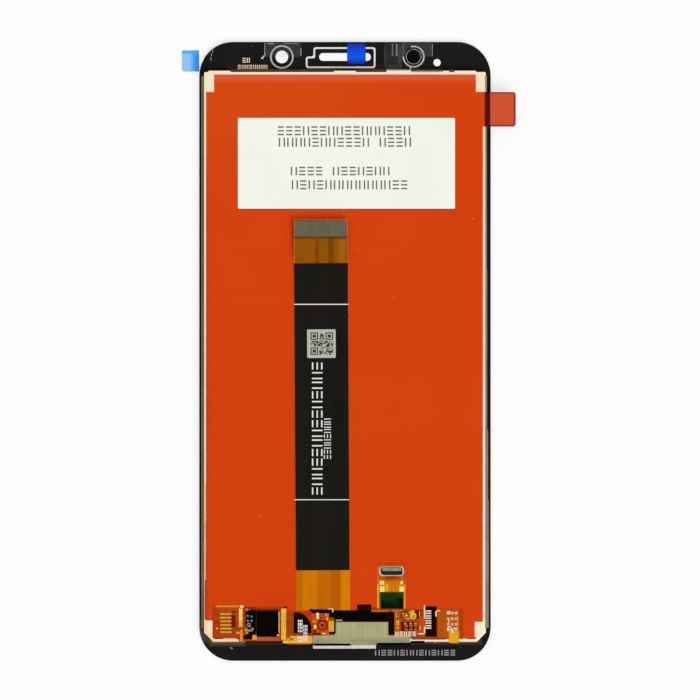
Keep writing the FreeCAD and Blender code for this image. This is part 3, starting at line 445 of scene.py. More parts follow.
# painted reflection: the solder's warm colour stands for the amber sheet mirrored in it
addFinish("tinnedWithReflection", (214, 140, 96),  # soldered ends that mirror the warm sheet round them
          mottle((180, 96, 62), 0.6, 900, 4200, 0.8, (0.25, 0.45)), bump=0.6, depth=0.015, metallic=0.2)
addFinish("tantalum", (208, 162, 34),
          field((180, 120, 34), 328, 614.5, 334, 617.5, 0.1),
          mottle((222, 180, 70), 0.5, 900, 7000, 0.5, (0.35, 0.5)),
          bump=0.5, specular=0.1)
addFinish("greenMask", (3, 16, 3),
          field((14, 66, 18), 378, 588, 399, 604, 1.7),
          field((38, 72, 46), 394, 590, 405, 598.5, 1),
          field((66, 58, 6), 376, 588, 408, 593.6, 0.3),
          field((12, 8, 2), 376, 604, 410, 612, 0.5),
          conductors((18, 50, 18), 0.2, 2400, 400, 0.8),
          mottle((8, 34, 10), 0.25, 500, 6000, 0.3, (0.28, 0.42)),
          bump=0.5, depth=0.012, specular=0.04)
addFinish("socketBlack", (30, 32, 30),
          mottle((48, 52, 48), 0.6, 700, 7000, 0.5, (0.38, 0.55)), bump=0.5, specular=0.3)
addFinish("whitePrint", (236, 236, 230),
          mottle((206, 206, 200), 0.5, 900, 6000, 0.5, (0.45, 0.6)), depth=0.006)
addFinish("ringPrint", (188, 190, 186),
          mottle((158, 160, 156), 0.5, 1200, 6000, 0.5, (0.45, 0.6)), depth=0.006)
addFinish("greyPrintAndGlints", (160, 162, 160),
          # painted highlight: the glints by the camera film's lower left corner are brighter
          field((224, 224, 220), 259, 54.6, 265.8, 60, 0.05),
          field((88, 90, 88), 390, 40, 394.4, 60, 0.05),
          field((130, 132, 130), 394.5, 40, 399, 60, 0.05),
          mottle((120, 122, 120), 0.5, 1200, 6000, 0.5, (0.45, 0.6)),
          depth=0.006)
addFinish("labelPrint", (92, 92, 86),
          mottle((124, 124, 118), 0.6, 1500, 6000, 0.4, (0.5, 0.65)), bump=0.3, depth=0.004)
addFinish("sticker", (182, 184, 168),
          mottle((180, 182, 168), 0.5, 500, 7000, 0.5, (0.45, 0.6)),
          dust(0.2, 1500),
          depth=0.008)
addFinish("codeInk", (30, 32, 26),
          mottle((64, 66, 58), 0.5, 1500, 6000, 0.4, (0.45, 0.6)), bump=0.3, depth=0.004)
# painted shadow of the frame's top edge, as a brown colour
addFinish("frameEdgeShadow", (106, 84, 68),  # the shadowed step above the frame
          mottle((78, 58, 48), 0.6, 300, 6000, 0.5, (0.45, 0.6)), specular=0.1)
addFinish("greySeal", (140, 132, 108),  # the soft seal that shows between the frame and the border
          sweepAcross((150, 142, 126), 300, 480),
          field((176, 104, 72), 202.2, 560, 206, 622, 0.3),
          mottle((110, 100, 82), 0.6, 90, 6000, 0.5, (0.4, 0.55)),
          specular=0.1)
addFinish("amberGold", (236, 156, 52),
          mottle((206, 118, 30), 0.6, 900, 6000, 0.5, (0.25, 0.4)), bump=0.5, specular=0.3)
addFinish("paleGold", (253, 226, 140),
          mottle((240, 192, 88), 0.6, 900, 6000, 0.5, (0.22, 0.4)), bump=0.5, specular=0.3)
addFinish("creamPrint", (246, 226, 200),
          mottle((222, 190, 158), 0.6, 1100, 6000, 0.5, (0.45, 0.6)), depth=0.006)
addFinish("pinkPrint", (226, 176, 144),
          mottle((196, 130, 96), 0.6, 1100, 6000, 0.5, (0.45, 0.6)), depth=0.006, specular=0.1)
addFinish("socketPale", (136, 160, 142),
          mottle((84, 112, 98), 0.6, 900, 6000, 0.5, (0.3, 0.45)), depth=0.008, specular=0.3)
addFinish("oliveMark", (150, 156, 112),
          mottle((116, 122, 82), 0.6, 1100, 6000, 0.5, (0.4, 0.55)), depth=0.006)
addFinish("darkRed", (122, 18, 3), mottle((92, 12, 3), 0.6, 700, 6000, 0.4, (0.3, 0.45)), specular=0.04)
addFinish("blueTape", (26, 46, 176),
          field((22, 66, 212), 346, 46, 367.6, 61, 0.6),
          field((0, 90, 240), 346, 50, 367.6, 60.6, 0.9),
          streaks((4, 56, 206), 0.3, (60, 1500, 60), 0.2),
          mottle((20, 86, 236), 0.3, 400, 6000, 0.3, (0.25, 0.4)),
          specular=0.06)
addFinish("blueTab", (150, 200, 246),
          sweepAcross((6, 146, 250), 187.5, 196.5),
          field((60, 172, 238), 178, 50, 205, 53.4, 0.3),
          mottle((90, 176, 246), 0.15, 300, 6000, 0.3, (0.25, 0.4)),
          specular=0.2)
addFinish("filterInk", (10, 10, 9),
          mottle((16, 15, 14), 0.6, 500, 6000, 0.3, (0.3, 0.45)), bump=0.3, depth=0.006, specular=0.04)

# finishes of the display itself, seen at the edges, through the windows and from the front
addFinish("coverGlass", (252, 254, 254), roughness=0.02, transmission=1, ior=1.5, clear=True)
addFinish("clearFilm", (251, 253, 254),
          streaks((246, 249, 252), 0.4, (60, 900, 60), 0.3),
          mottle((253, 254, 255), 0.4, 120, 5200, 0.2, (0.03, 0.06)),
          bump=0.3, transmission=1, ior=1.45, clear=True)
# clear film laid on the ink: its faint grey is painted reflection, and painted highlights make it stronger
# near its edges
addFinish("patchFilm", (154, 157, 155),
          streaks((121, 124, 122), 0.5, (900, 60, 60), 0.1),
          mottle((168, 171, 170), 0.5, 260, 5200, 0.1, (0.3, 0.45)),
          field((255, 255, 255), 397.4, 40, 404.8, 72, 0.4),
          field((255, 244, 240), 378, 63.6, 405, 76, 0.4),
          field((206, 208, 206), 380, 44, 387.4, 70, 0.4),
          field((24, 24, 22), 405.8, 47, 421.2, 66, 0.5),
          bump=0.2, depth=0.006, specular=0.15, alpha=0.045)
addFinish("adhesive", (240, 240, 236),
          mottle((232, 232, 226), 0.4, 200, 5200, 0.3, (0.1, 0.2)),
          bump=0.3, depth=0.006, transmission=1, ior=1.47, clear=True)
addFinish("polariser", (20, 21, 23),
          streaks((26, 27, 30), 0.4, (40, 900, 40), 0.1),
          mottle((15, 16, 18), 0.4, 60, 5200, 0.1, (0.1, 0.18)),
          bump=0.2, depth=0.004, specular=0.3)
addFinish("cellGlass", (120, 128, 128),
          mottle((104, 112, 112), 0.4, 120, 5200, 0.1, (0.05, 0.12)), bump=0.2, depth=0.004, ior=1.5)
addFinish("silicon", (70, 70, 78),
          streaks((90, 90, 104), 0.5, (2400, 60, 60), 0.2),
          mottle((54, 54, 62), 0.4, 900, 6000, 0.2, (0.12, 0.2)),
          bump=0.3, depth=0.004, metallic=0.4)
addFinish("rimTape", (18, 17, 17), mottle((30, 29, 28), 0.5, 400, 6000, 0.5, (0.45, 0.6)), specular=0.2)
addFinish("prismFilm", (220, 224, 228),
          conductors((200, 206, 214), 0.5, 4000, 90, 1),
          mottle((228, 230, 234), 0.4, 90, 5200, 0.1, (0.15, 0.25)),
          bump=0.6)
addFinish("diffuser", (238, 238, 235),
          mottle((230, 230, 226), 0.4, 90, 8000, 0.7, (0.5, 0.65)), depth=0.006)
addFinish("lightGuide", (226, 234, 234),
          mottle((214, 224, 226), 0.4, 90, 3000, 0.6, (0.08, 0.16)), depth=0.006)
addFinish("reflector", (252, 234, 206),
          mottle((238, 220, 182), 0.5, 120, 5200, 0.3, (0.25, 0.4)), bump=0.3, depth=0.008)
addFinish("lightPart", (244, 226, 150),
          mottle((230, 206, 120), 0.5, 900, 6000, 0.4, (0.35, 0.5)), depth=0.008)

dressed = {
    "redFilm": ["rear_protective_film"], "label": ["rear_label"], "bezelInk": ["bezel_ink"],
    "frameWhite": ["backlight_frame"], "tailCover": ["tail_coverlay"],
    "blackSheetAndShadow": ["black_coverlay", "half_disc_tape", "joint_tape", "touch_black_patch"],
    "displayFlex": ["display_flex"], "touchFlex": ["touch_flex"], "lightFlex": ["led_flex"],
    "stiffPlate": ["tail_stiffener"], "shieldFoil": ["flex_shield"],
    "goldPlate": ["main_connector_contacts", "branch_connector_contacts", "touch_fingers"],
    "paleGold": ["branch_pads"], "pinkPrint": ["led_pads"],
    "solder": ["touch_solder_balls"], "tinnedWithReflection": ["chip_terminals"],
    "barYellow": ["touch_bars", "power_coil"], "chipMould": ["touch_controller_ic"],
    "ceramic": ["chip_bodies"],
    "tantalum": ["tantalum_capacitor"], "greenMask": ["branch_cover_patch"],
    "socketBlack": ["main_connector_housing", "branch_connector_housing"],
    "whitePrint": ["earpiece_outline", "bezel_spacers"],
    "ringPrint": ["camera_ring", "proximity_ring"], "greyPrintAndGlints": ["silver_strips"],
    "sticker": ["tail_sticker"], "blueTape": ["blue_release_tape"], "blueTab": ["front_pull_tab"],
    "filterInk": ["proximity_filter"], "coverGlass": ["cover_glass"],
    "clearFilm": ["front_protective_film"], "patchFilm": ["camera_film", "proximity_film", "sensor_film"],
    "adhesive": ["optical_adhesive", "sensor_adhesive", "touch_sensor"],
    "polariser": ["front_polariser", "rear_polariser"],
    "cellGlass": ["colour_filter_glass", "tft_glass"], "silicon": ["driver_ic"], "rimTape": ["rim_tape"],
    "prismFilm": ["upper_prism_film", "lower_prism_film"], "diffuser": ["diffuser_film"],
    "lightGuide": ["light_guide"], "reflector": ["reflector_film"], "lightPart": ["backlight_leds"],
}
bare = set(nodes)
for finish, names in dressed.items():
    for name in names:
        for slot in nodes[name].material_slots:
            slot.material = materials[finish]
        bare.discard(name)
print("finishes given to the solids; without one:", sorted(bare))


# fine pieces: thin plates, discs and rings, all from bmesh operators
def thicken(bm, faces, depth):  # flat faces drawn out upwards
    raised = bmesh.ops.extrude_face_region(bm, geom=faces)["geom"]
    upper = [g for g in raised if isinstance(g, bmesh.types.BMVert)]
    bmesh.ops.translate(bm, vec=(0, 0, depth), verts=upper)


def rimOf(bm, face, width):  # the outer band of a face, its middle taken away
    rim = bmesh.ops.inset_region(bm, faces=[face], thickness=width, use_boundary=True)["faces"]
    bmesh.ops.delete(bm, geom=[face], context="FACES_ONLY")
    return rim


def addPlate(bm, x0, y0, x1, y1, z, depth):
    made = bmesh.ops.create_cube(bm, size=1.0)["verts"]
    place = Matrix.Translation(((x0 + x1) / 2, (y0 + y1) / 2, z + depth / 2))
    size = Matrix.Diagonal((x1 - x0, y1 - y0, depth, 1))
    bmesh.ops.transform(bm, matrix=place @ size, verts=made)


discSides = 20


def addDisc(bm, x, y, z, radius, hole, depth):
    made = bmesh.ops.create_circle(bm, cap_ends=True, radius=radius, segments=discSides,
                                   matrix=Matrix.Translation((x, y, z)))["verts"]
    face = made[0].link_faces[0]
    thicken(bm, rimOf(bm, face, radius - hole) if hole else [face], depth)


def addSheet(bm, x0, y0, x1, y1, z, radius, segments):  # a flat rectangle with rounded corners
    made = bmesh.ops.create_grid(bm, x_segments=1, y_segments=1, size=0.5)["verts"]
    place = Matrix.Translation(((x0 + x1) / 2, (y0 + y1) / 2, z))
    bmesh.ops.transform(bm, matrix=place @ Matrix.Diagonal((x1 - x0, y1 - y0, 1, 1)), verts=made)
    rounded = bmesh.ops.bevel(bm, geom=made, offset=radius, offset_type="OFFSET", affect="VERTICES",
                              segments=segments, profile=0.5, material=-1)
    return rounded["verts"][0].link_faces[0]


def addPiece(name, finish, build):  # one object from one bmesh, riding on the part
    bm = bmesh.new()
    build(bm)
    bmesh.ops.recalc_face_normals(bm, faces=bm.faces)
    mesh = bpy.data.meshes.new(name)
    bm.to_mesh(mesh)
    bm.free()
    piece = bpy.data.objects.new(name, mesh)
    bpy.context.scene.collection.objects.link(piece)
    piece.data.materials.append(materials[finish])
    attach(piece, "root")
    return piece


# builders of flat marks, of round pads and rings; all places in picture pixels
def plates(rows, z=None, depth=printDepth):
    def build(bm):
        for left, top, right, bottom in rows:
            box = (across(left), up(bottom), across(right), up(top))
            addPlate(bm, *box, restHeight(*box) if z is None else z, depth)
    return build


def discs(rows, z=None, depth=printDepth):
    def build(bm):
        for column, row, outer, inner in rows:
            x, y, radius = across(column), up(row), outer / picture["perMm"] * mm
            low = restHeight(x - radius, y - radius, x + radius, y + radius) if z is None else z
            addDisc(bm, x, y, low, radius, inner / picture["perMm"] * mm, depth)
    return build


# print too small to read, as pairs and threes of short strokes in an even pitch
greeking = {"lead": 0.1, "mark": 0.74, "wordLength": 7, "blankAt": 4}


def wordMarks(rng, left, top, right, bottom, pitch, stroke, downwards=False):
    rows = []
    length, depth = (bottom - top, right - left) if downwards else (right - left, bottom - top)
    for index in range(int(length / pitch)):
        start = index * pitch + pitch * greeking["lead"]
        stop = start + pitch * greeking["mark"]
        mayBeBlank = index % greeking["wordLength"] == greeking["blankAt"]
        kind = rng.choice(("pair", "bars", "bars", "pair", "blank") if mayBeBlank else ("pair", "bars"))
        marks = []
        if kind == "pair":
            marks = [(start, 0.0, start + stroke, depth), (stop - stroke, 0.0, stop, depth)]
        elif kind == "bars":
            marks = [(start, 0.0, stop, stroke), (start, (depth - stroke) / 2, stop, (depth + stroke) / 2),
                     (start, depth - stroke, stop, depth)]
        for a, c, b, d in marks:
            turned = (right - d, top + a, right - c, top + b)
            rows.append(turned if downwards else (left + a, top + c, left + b, top + d))
    return rows


def greeked(rng, lines):  # several lines: bounds, pitch, stroke, and True where one runs downwards
    return [mark for line in lines for mark in wordMarks(rng, *line)]


# the white label: four lines of greeked print
whiteLabel = {
    "seed": 11,
    "lines": [(277, 126.5, 412, 135.5, 8.4, 1.45), (278, 138, 417, 147, 8.4, 1.45),
              (290, 167, 397, 175.5, 8.4, 1.45), (291, 180.5, 412, 189.5, 8.4, 1.45)],
}
marks = greeked(random.Random(whiteLabel["seed"]), whiteLabel["lines"])
addPiece("label_print", "labelPrint", plates(marks, topOf("rear_label")))

# the red film reaches over the rim of the frame at the lower left
filmLap = {"rows": [(205, 580.5, 207.2, 619.4)]}
addPiece("film_lap", "redFilm", plates(filmLap["rows"]))

# the tail: two cross lines, two columns of greeked print and a code field without content
tail = {
    "crossLines": [(294.2, 303.9, 348.2, 304.9), (294.6, 499.1, 349, 500)], "seed": 23,
    "columns": [(312, 361.5, 322.5, 496.5, 9.6, 1.38, True), (324, 418, 331, 460.5, 5.2, 0.9, True)],
}
tailTop = topOf("tail_coverlay")
addPiece("tail_cross_lines", "whitePrint", plates(tail["crossLines"], tailTop))
marks = greeked(random.Random(tail["seed"]), tail["columns"])
addPiece("tail_print", "whitePrint", plates(marks, tailTop))

code = {"left": 310.6, "top": 332.4, "module": 1.07, "count": 21, "finder": 7, "gap": 2,
        "share": 0.56, "seed": 5}


def codeCells(rng):  # random cells, and three corner marks with an empty ring in each
    cells = set()
    last = code["count"] - code["finder"]
    for row in range(code["count"]):
        for column in range(code["count"]):
            inFinder = (row <= code["finder"] or row >= last - 1) and column <= code["finder"]
            inFinder = inFinder or (row <= code["finder"] and column >= last - 1)
            if not inFinder and rng.random() < code["share"]:
                cells.add((row, column))
    middle = code["finder"] // 2
    for top, left in ((0, 0), (0, last), (last, 0)):
        for row in range(code["finder"]):
            for column in range(code["finder"]):
                if max(abs(row - middle), abs(column - middle)) != code["gap"]:
                    cells.add((top + row, left + column))
    return cells


def codeRuns(cells):  # neighbours in a row become one bar
    rows = []
    for row in range(code["count"]):
        column = 0
        while column < code["count"]:
            stop = column
            while (row, stop) in cells:
                stop += 1
            if stop > column:
                x, y = code["left"] + column * code["module"], code["top"] + row * code["module"]
                rows.append((x, y, x + (stop - column) * code["module"], y + code["module"]))
            column = stop + 1
    return rows


cells = codeCells(random.Random(code["seed"]))
addPiece("tail_code_field", "codeInk", plates(codeRuns(cells), topOf("tail_sticker")))
print("label and tail printed")

# the clear front film, laid on with a breath of air so that the glass stays clear
frontFilm = {"lift": 0.008 * mm, "corner": 7.6 * mm, "cornerSteps": 12, "tongueSpare": 0.3 * mm}
filmLow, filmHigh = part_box("front_protective_film")
tabLow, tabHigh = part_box("front_pull_tab")


def buildFrontFilm(bm):
    addSheet(bm, -filmHigh.x, filmLow.y, filmHigh.x, filmHigh.y, filmLow.z, frontFilm["corner"],
             frontFilm["cornerSteps"])
    for y in (tabLow.y - frontFilm["tongueSpare"], tabHigh.y + frontFilm["tongueSpare"]):
        bmesh.ops.bisect_plane(bm, geom=bm.verts[:] + bm.edges[:] + bm.faces[:], plane_co=(0, y, 0),
                               plane_no=(0, 1, 0))
    middle = (tabLow.y + tabHigh.y) / 2
    root = [e for e in bm.edges if all(v.co.x < 0 for v in e.verts)
            and min(v.co.y for v in e.verts) < middle < max(v.co.y for v in e.verts)]
    tongue = bmesh.ops.extrude_edge_only(bm, edges=root)["geom"]
    for v in [g for g in tongue if isinstance(g, bmesh.types.BMVert)]:
        v.co.x = filmLow.x
    thicken(bm, bm.faces[:], filmHigh.z - filmLow.z - frontFilm["lift"])


film = addPiece("front_film_clear", "clearFilm", buildFrontFilm)
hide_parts("front_protective_film")

# borders: glints and specks on the clear films and the ink, the painted shadow of the frame's top edge,
# seals and print
borders = {
    "glints": [
        (264.4, 43, 265, 52), (264.2, 52, 265.4, 55.2), (262.8, 55.4, 264.2, 57), (261.2, 57, 263.2, 58.6),
        (267.6, 43, 273.6, 43.9), (284, 43, 298, 43.5), (300.5, 48, 301.3, 55.4), (432.2, 43.4, 432.7, 56),
        (230.2, 647.6, 231.8, 648.8), (231.8, 648.6, 232.6, 649.4), (212.2, 49.5, 212.9, 52),
        (211, 53, 211.7, 55.6), (210.4, 57, 211.1, 60.2), (434, 642.4, 436, 643.2),
    ],
    # painted shadow of the frame's top edge, as brown strips on the ink
    "step": [
        (231, 69.1, 334, 71.3), (357, 69.1, 386.5, 71.3), (411.5, 69.1, 443, 70.7),
        (449.5, 69.1, 453.5, 71.3),
    ],
    "lip": [(386.6, 69.3, 409.8, 71), (411.5, 70.7, 443, 71.5)],
    "seals": [
        (201.2, 76, 203.9, 628), (485.2, 76, 486.7, 628), (486.7, 270, 487.3, 628),
        (487.3, 430, 488.2, 628), (488.2, 500, 488.8, 628),
    ],
    "sealDepth": 0.1 * mm, "printSeed": 71,
    "topPrint": [(242, 57.6, 254.6, 62.4, 4.2, 1), (237.4, 64.6, 268, 68.8, 3.8, 0.9)],
    "bottomPrint": [(374.4, 650.3, 457, 655.8, 6.3, 1.1)],
}
addPiece("film_edge_glints", "greyPrintAndGlints", plates(borders["glints"]))
addPiece("frame_top_shadow", "frameEdgeShadow", plates(borders["step"]))
addPiece("frame_top_lip", "frameWhite", plates(borders["lip"]))
addPiece("side_seals", "greySeal", plates(borders["seals"], depth=borders["sealDepth"]))
rng = random.Random(borders["printSeed"])
addPiece("border_print_top", "creamPrint", plates(greeked(rng, borders["topPrint"])))
addPiece("border_print_bottom", "greyPrintAndGlints", plates(greeked(rng, borders["bottomPrint"])))
print("borders dressed")

# branch tail and the edges of the circuits: outlines, bare copper marks, and the line round the socket
branch = {
    "edges": [
        (377.6, 566, 378.2, 584), (402.6, 576, 403, 584), (376.9, 584, 378.9, 608.2),
        (403.9, 584, 405.3, 608.2),
    ],
    "outlines": [
        (371, 608.4, 404, 609.8), (293.9, 236.4, 294.8, 263), (347.1, 236.4, 348, 263),
        (412, 637.8, 446, 639.3), (292, 632.9, 311, 635.4),
    ],
    "stiffener": [(293.9, 219.4, 294.8, 236.2), (347.1, 219.4, 348, 236.2), (294.8, 219.2, 347.1, 219.9)],
    "marks": [
        (379.6, 580.6, 384.2, 584.4), (400.4, 580.8, 402.6, 584.2), (379.9, 586, 384.6, 587.2),
        (399.1, 586, 404, 587.2), (386.6, 584.5, 387, 590.5),
    ],
    "band": [(382.4, 567.7, 401.2, 570.6)],
    "proud": 0.2, "bandDepth": 0.004 * mm,  # the stiffener's line is sunk, but for this share of its depth
    "socket": (379.2, 566, 403.8, 575.8), "corner": 0.85 * mm, "cornerSteps": 6, "width": 0.28 * mm,
}
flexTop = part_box("tail_coverlay")[0].z
# the light lines along the branch's edges: the flex's edge, brightened as painted glints
addPiece("branch_edges", "amberGold", plates(branch["edges"]))
addPiece("flex_outlines", "ceramic", plates(branch["outlines"]))
lineHeight = topOf("tail_stiffener") - (1 - branch["proud"]) * printDepth
addPiece("stiffener_outline", "ceramic", plates(branch["stiffener"], lineHeight))
addPiece("branch_marks", "paleGold", plates(branch["marks"]))


def buildSocketOutline(bm):
    left, top, right, bottom = branch["socket"]
    face = addSheet(bm, across(left), up(bottom), across(right), up(top), flexTop, branch["corner"],
                    branch["cornerSteps"])
    thicken(bm, rimOf(bm, face, branch["width"]), printDepth)


addPiece("branch_socket_outline", "creamPrint", buildSocketOutline)
addPiece("branch_socket_band", "socketPale",
         plates(branch["band"], depth=branch["bandDepth"]))

# the field of parts right of the shield; dots and blob are x, y, radius and hole
partsField = {
    "copper": [
        (395.6, 611.4, 396.8, 617), (396.8, 615.4, 404.6, 616.8), (397.6, 613.6, 400.2, 614.8),
        (401.6, 612.6, 404.4, 614.6), (405.8, 617.6, 409.4, 619.2), (395.8, 619.8, 399.2, 624.8),
        (396.4, 626, 398.6, 629), (413.8, 622.4, 417, 625), (419.2, 625.4, 420.8, 629.6),
        (393, 609.6, 404, 610.4),
    ],
    "blob": [(410, 612.2, 1.2, 0), (412.6, 611.6, 1.7, 0), (406.4, 615.2, 1, 0)],
    "shade": [
        (400.6, 621.4, 418, 630.6), (415, 609.8, 418.6, 618.5), (389.6, 611, 391.4, 633.6),
        (401, 610.6, 408, 611.8),
    ],
    "dots": [
        (405.2, 623.6, 1.3, 0), (410.6, 623.4, 1.2, 0), (405.6, 627.2, 1.1, 0), (410.9, 627.2, 1.1, 0),
        (415.2, 627.4, 0.9, 0),
    ],
    "lines": [
        (423.8, 604.6, 425, 618), (423.8, 626.4, 425.2, 634), (418.4, 632.9, 425, 634.1),
        (419.2, 611.4, 419.6, 615.2), (435.2, 609.8, 440, 611), (435.2, 609.8, 436.6, 616.2),
    ],
    "blobDepth": 0.02 * mm, "shadeDepth": 0.004 * mm, "printSeed": 31,
    "print": [(394.8, 631.2, 417.2, 635.9, 4.3, 1.15),
              (425.4, 609.6, 431.2, 629.8, 4.9, 1.3, True)],
}
addPiece("parts_copper", "amberGold", plates(partsField["copper"], flexTop))
addPiece("parts_blob", "paleGold",
         discs(partsField["blob"], flexTop, partsField["blobDepth"]))
addPiece("parts_shade", "darkRed",
         plates(partsField["shade"], flexTop, partsField["shadeDepth"]))
addPiece("parts_dots", "pinkPrint", discs(partsField["dots"], flexTop))
addPiece("parts_lines", "creamPrint", plates(partsField["lines"]))
marks = greeked(random.Random(partsField["printSeed"]), partsField["print"])
addPiece("parts_print", "creamPrint", plates(marks))

# pads and bare copper of the backlight's circuit; rings are x, y, radius and hole
lightPads = {
    "rings": [(448.5, 612.3, 1.8, 0.9), (449.4, 628, 2.3, 1.1), (452.5, 631.3, 1.4, 0)],
    "marks": [
        (451.4, 612, 452.8, 613), (455.2, 612.1, 458, 612.6), (453.2, 627.4, 457.2, 628.4),
        (448.2, 619.6, 449.2, 622.4),
    ],
    "copper": [(451.6, 633.6, 452.3, 642.4), (454.4, 633, 455, 642.4), (457.4, 616, 458.2, 642.4)],
}
addPiece("light_pad_rings", "creamPrint", discs(lightPads["rings"]))
addPiece("light_pad_marks", "creamPrint", plates(lightPads["marks"]))
addPiece("light_copper", "amberGold", plates(lightPads["copper"]))
print("right-hand circuits dressed")

# touch circuit, from the left edge to the half disc; the round and the rings are x, y, radius and hole
touch = {
    "shade": [
        (230.6, 615, 235.6, 627), (232, 610.6, 236, 612.4), (318.8, 619.4, 325.8, 621.2),
        (313, 629.6, 316, 632.2),
    ],
    "round": [(322.4, 625, 5.2, 3.9), (322.4, 625, 1.7, 0)],
    "copper": [
        (216.5, 605.2, 239, 606.4), (216, 627.2, 218.2, 629.2), (245, 629.4, 250.5, 631),
        (246, 631.8, 248.4, 633.4), (236, 631.5, 240, 633.5), (252.6, 634.5, 257, 639.5),
        (240.4, 629.4, 242.8, 641), (286.8, 637.5, 293, 640), (312.6, 620.5, 316, 622),
        (325.4, 613, 327.4, 616),
    ],
    "goldBar": [(290, 635.6, 312.4, 640), (283, 640.2, 312.4, 643)],
    "darkSpots": [
        (243.6, 635.2, 252.4, 638.8), (245.2, 634.2, 250.6, 635.2), (284, 606.4, 287, 607.6),
        (329, 631.6, 335.6, 634), (334.4, 617.6, 335.8, 633), (309.8, 608.6, 312, 611),
        (313, 633, 322, 634.2), (312.2, 609.2, 332, 611), (329.4, 611.8, 335.4, 617.2),
    ],
    "ballRings": [
        (247.2, 609.4, 1.3, 0.6), (248.9, 624.4, 1.9, 1), (252.6, 628.6, 1.3, 0), (246.4, 628.2, 1.2, 0.5),
    ],
    "paleEdges": [
        (278.8, 611.4, 279.5, 632.4), (277.2, 634.2, 279.2, 635.4), (328.2, 608.2, 333.4, 609.4),
        (332.2, 608.2, 333.4, 613.2),
    ],
    "shadeDepth": 0.004 * mm,
}
addPiece("touch_shade", "darkRed", plates(touch["shade"], depth=touch["shadeDepth"]))
addPiece("parts_left_round", "darkRed", discs(touch["round"], flexTop))
addPiece("touch_copper", "amberGold", plates(touch["copper"]))
addPiece("touch_gold_bar", "barYellow", plates(touch["goldBar"]))
addPiece("touch_dark_spots", "blackSheetAndShadow", plates(touch["darkSpots"]))
addPiece("touch_ball_rings", "solder", discs(touch["ballRings"]))
addPiece("touch_pale_edges", "creamPrint", plates(touch["paleEdges"]))

# half disc, the marks round the shield, and painted shadow strips along the lower edges of the shield and
# the flexes
shieldSide = {
    "marks": [
        (240, 605, 243.6, 607.6), (316.4, 612.4, 319, 618.2), (314, 624.6, 316.4, 628),
        (320.6, 632.6, 325.6, 633.8), (326.6, 617.4, 328, 620),
    ],
    "print": [(334.8, 619.2, 342.4, 620.8)],
    "shadow": [
        (313.5, 643, 350.5, 645.4), (376.6, 642.4, 410.4, 644.9), (284, 644.3, 312.4, 645.6),
        (246, 640.9, 282.6, 642), (411, 640.6, 424.5, 643),
    ],
    "foot": [(351.5, 643.3, 376.3, 644.6)],
    "discSeed": 47, "discDepth": 0.03 * mm,
    "discPrint": [(298, 619.2, 302.6, 643, 3.3, 1.1, True),
                  (303.4, 624.4, 307.4, 643, 3.3, 0.95, True)],
}
marks = greeked(random.Random(shieldSide["discSeed"]), shieldSide["discPrint"])
addPiece("half_disc_print", "whitePrint", plates(marks, depth=shieldSide["discDepth"]))
addPiece("parts_left_marks", "paleGold", plates(shieldSide["marks"]))
addPiece("shield_print", "oliveMark", plates(shieldSide["print"]))
addPiece("shield_shadow", "blackSheetAndShadow", plates(shieldSide["shadow"]))
addPiece("spacer_foot", "greySeal", plates(shieldSide["foot"]))
print("touch circuit dressed")

# camera straight above, lens long enough to keep the sides upright
view = {"lens": 200.0, "sensor": 36.0, "width": picture["size"] / picture["perMm"] * mm,
        "middle": (across(picture["size"] / 2), up(picture["size"] / 2)), "sharpAt": 1.7 * mm,
        "near": 0.01, "far": 20.0}
camera = bpy.data.objects.new("camera", bpy.data.cameras.new("camera"))
bpy.context.scene.collection.objects.link(camera)
camera.data.lens = view["lens"]
camera.data.sensor_width = view["sensor"]
camera.data.clip_start, camera.data.clip_end = view["near"], view["far"]
distance = view["width"] * view["lens"] / view["sensor"]
camera.location = (*view["middle"], distance + view["sharpAt"])
bpy.context.scene.camera = camera

# soft even light: a pale room with a dim ceiling round the camera, and one wide sun from the upper left
lights = {"sky": 0.64, "ceiling": 0.12, "ceilingFrom": 0.45, "ceilingTo": 0.9,
          "sun": 1.65, "sunWidth": 40.0, "sunTilt": 48.0, "sunTurn": 35.0}
world = bpy.data.worlds.new("studio")
bpy.context.scene.world = world
world.use_nodes = True
tree = world.node_tree
tree.nodes.clear()
ray = put(tree, "ShaderNodeLightPath").outputs
way = put(tree, "ShaderNodeTexCoord").outputs["Generated"]
rise = put(tree, "ShaderNodeSeparateXYZ", {0: way}).outputs[2]
clearUp = sums(tree, "MULTIPLY", ray["Is Transmission Ray"], sums(tree, "GREATER_THAN", rise, 0.0))
seen = sums(tree, "MAXIMUM", ray["Is Camera Ray"], clearUp)
mirrored = sums(tree, "MAXIMUM", ray["Is Glossy Ray"], ray["Is Transmission Ray"])
ceiling = ramp(tree, sums(tree, "ABSOLUTE", rise), lights["ceilingFrom"], lights["ceilingTo"],
               1.0, lights["ceiling"], kind="SMOOTHSTEP")
white = sums(tree, "MAXIMUM", seen, sums(tree, "MULTIPLY", ceiling, mirrored))
plainSky = sums(tree, "SUBTRACT", 1.0, sums(tree, "MAXIMUM", seen, mirrored))
strength = sums(tree, "ADD", white, sums(tree, "MULTIPLY", plainSky, lights["sky"]))
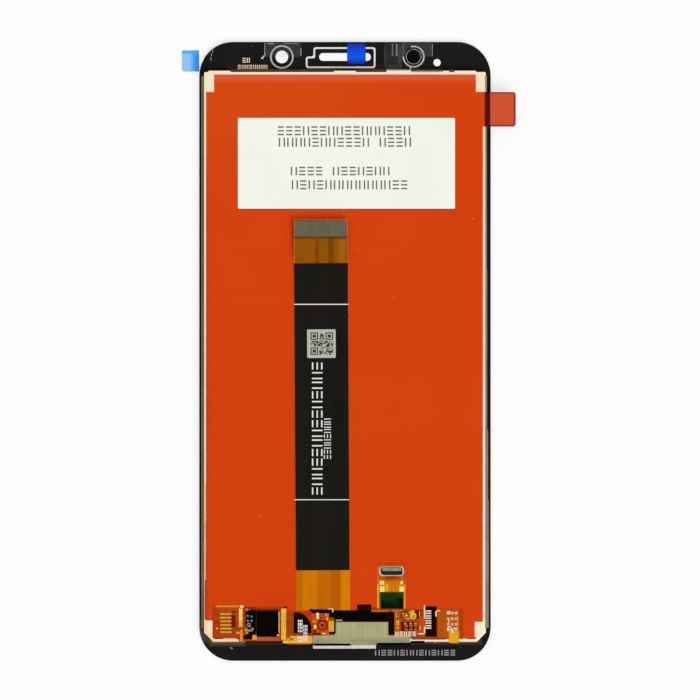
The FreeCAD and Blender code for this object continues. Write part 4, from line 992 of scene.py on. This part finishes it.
sky = put(tree, "ShaderNodeBackground", {"Strength": strength, "Color": (1.0, 1.0, 1.0, 1.0)})
put(tree, "ShaderNodeOutputWorld", {"Surface": sky.outputs[0]})

sunData = bpy.data.lights.new("sun", "SUN")
sunData.energy = lights["sun"]
sunData.angle = math.radians(lights["sunWidth"])
sun = bpy.data.objects.new("sun", sunData)
sun.rotation_euler = (math.radians(lights["sunTilt"]), 0.0, math.radians(lights["sunTurn"]))
bpy.context.scene.collection.objects.link(sun)

# a plain pale floor, clear from below so that the display side can be looked at
floor = {"size": 6.0, "gap": 0.02 * mm, "colour": (0.98, 0.98, 0.98, 1.0), "ownLight": 0.62}
bm = bmesh.new()
bmesh.ops.create_grid(bm, x_segments=1, y_segments=1, size=floor["size"] / 2)
bmesh.ops.translate(bm, vec=(0, 0, cadLow.z - floor["gap"]), verts=bm.verts)
floorMesh = bpy.data.meshes.new("floor")
bm.to_mesh(floorMesh)
bm.free()
floorPiece = bpy.data.objects.new("floor", floorMesh)
bpy.context.scene.collection.objects.link(floorPiece)
floorFinish = bpy.data.materials.new("paleFloor")
floorFinish.use_nodes = True
tree = floorFinish.node_tree
tree.nodes.clear()
paint = put(tree, "ShaderNodeBsdfDiffuse", {"Color": floor["colour"]}).outputs[0]
glow = put(tree, "ShaderNodeEmission").outputs[0]
clear = put(tree, "ShaderNodeBsdfTransparent").outputs[0]
ray = put(tree, "ShaderNodeLightPath").outputs
share = sums(tree, "MULTIPLY", ray["Is Camera Ray"], floor["ownLight"])
share = sums(tree, "MAXIMUM", share, ray["Is Transmission Ray"])
lit = put(tree, "ShaderNodeMixShader", {0: share, 1: paint, 2: glow})
back = put(tree, "ShaderNodeNewGeometry").outputs["Backfacing"]
behind = put(tree, "ShaderNodeMixShader", {0: back, 1: lit.outputs[0], 2: clear})
put(tree, "ShaderNodeOutputMaterial", {"Surface": behind.outputs[0]})
floorPiece.data.materials.append(floorFinish)

bpy.context.scene.view_settings.view_transform = "Standard"

print("scene finished")
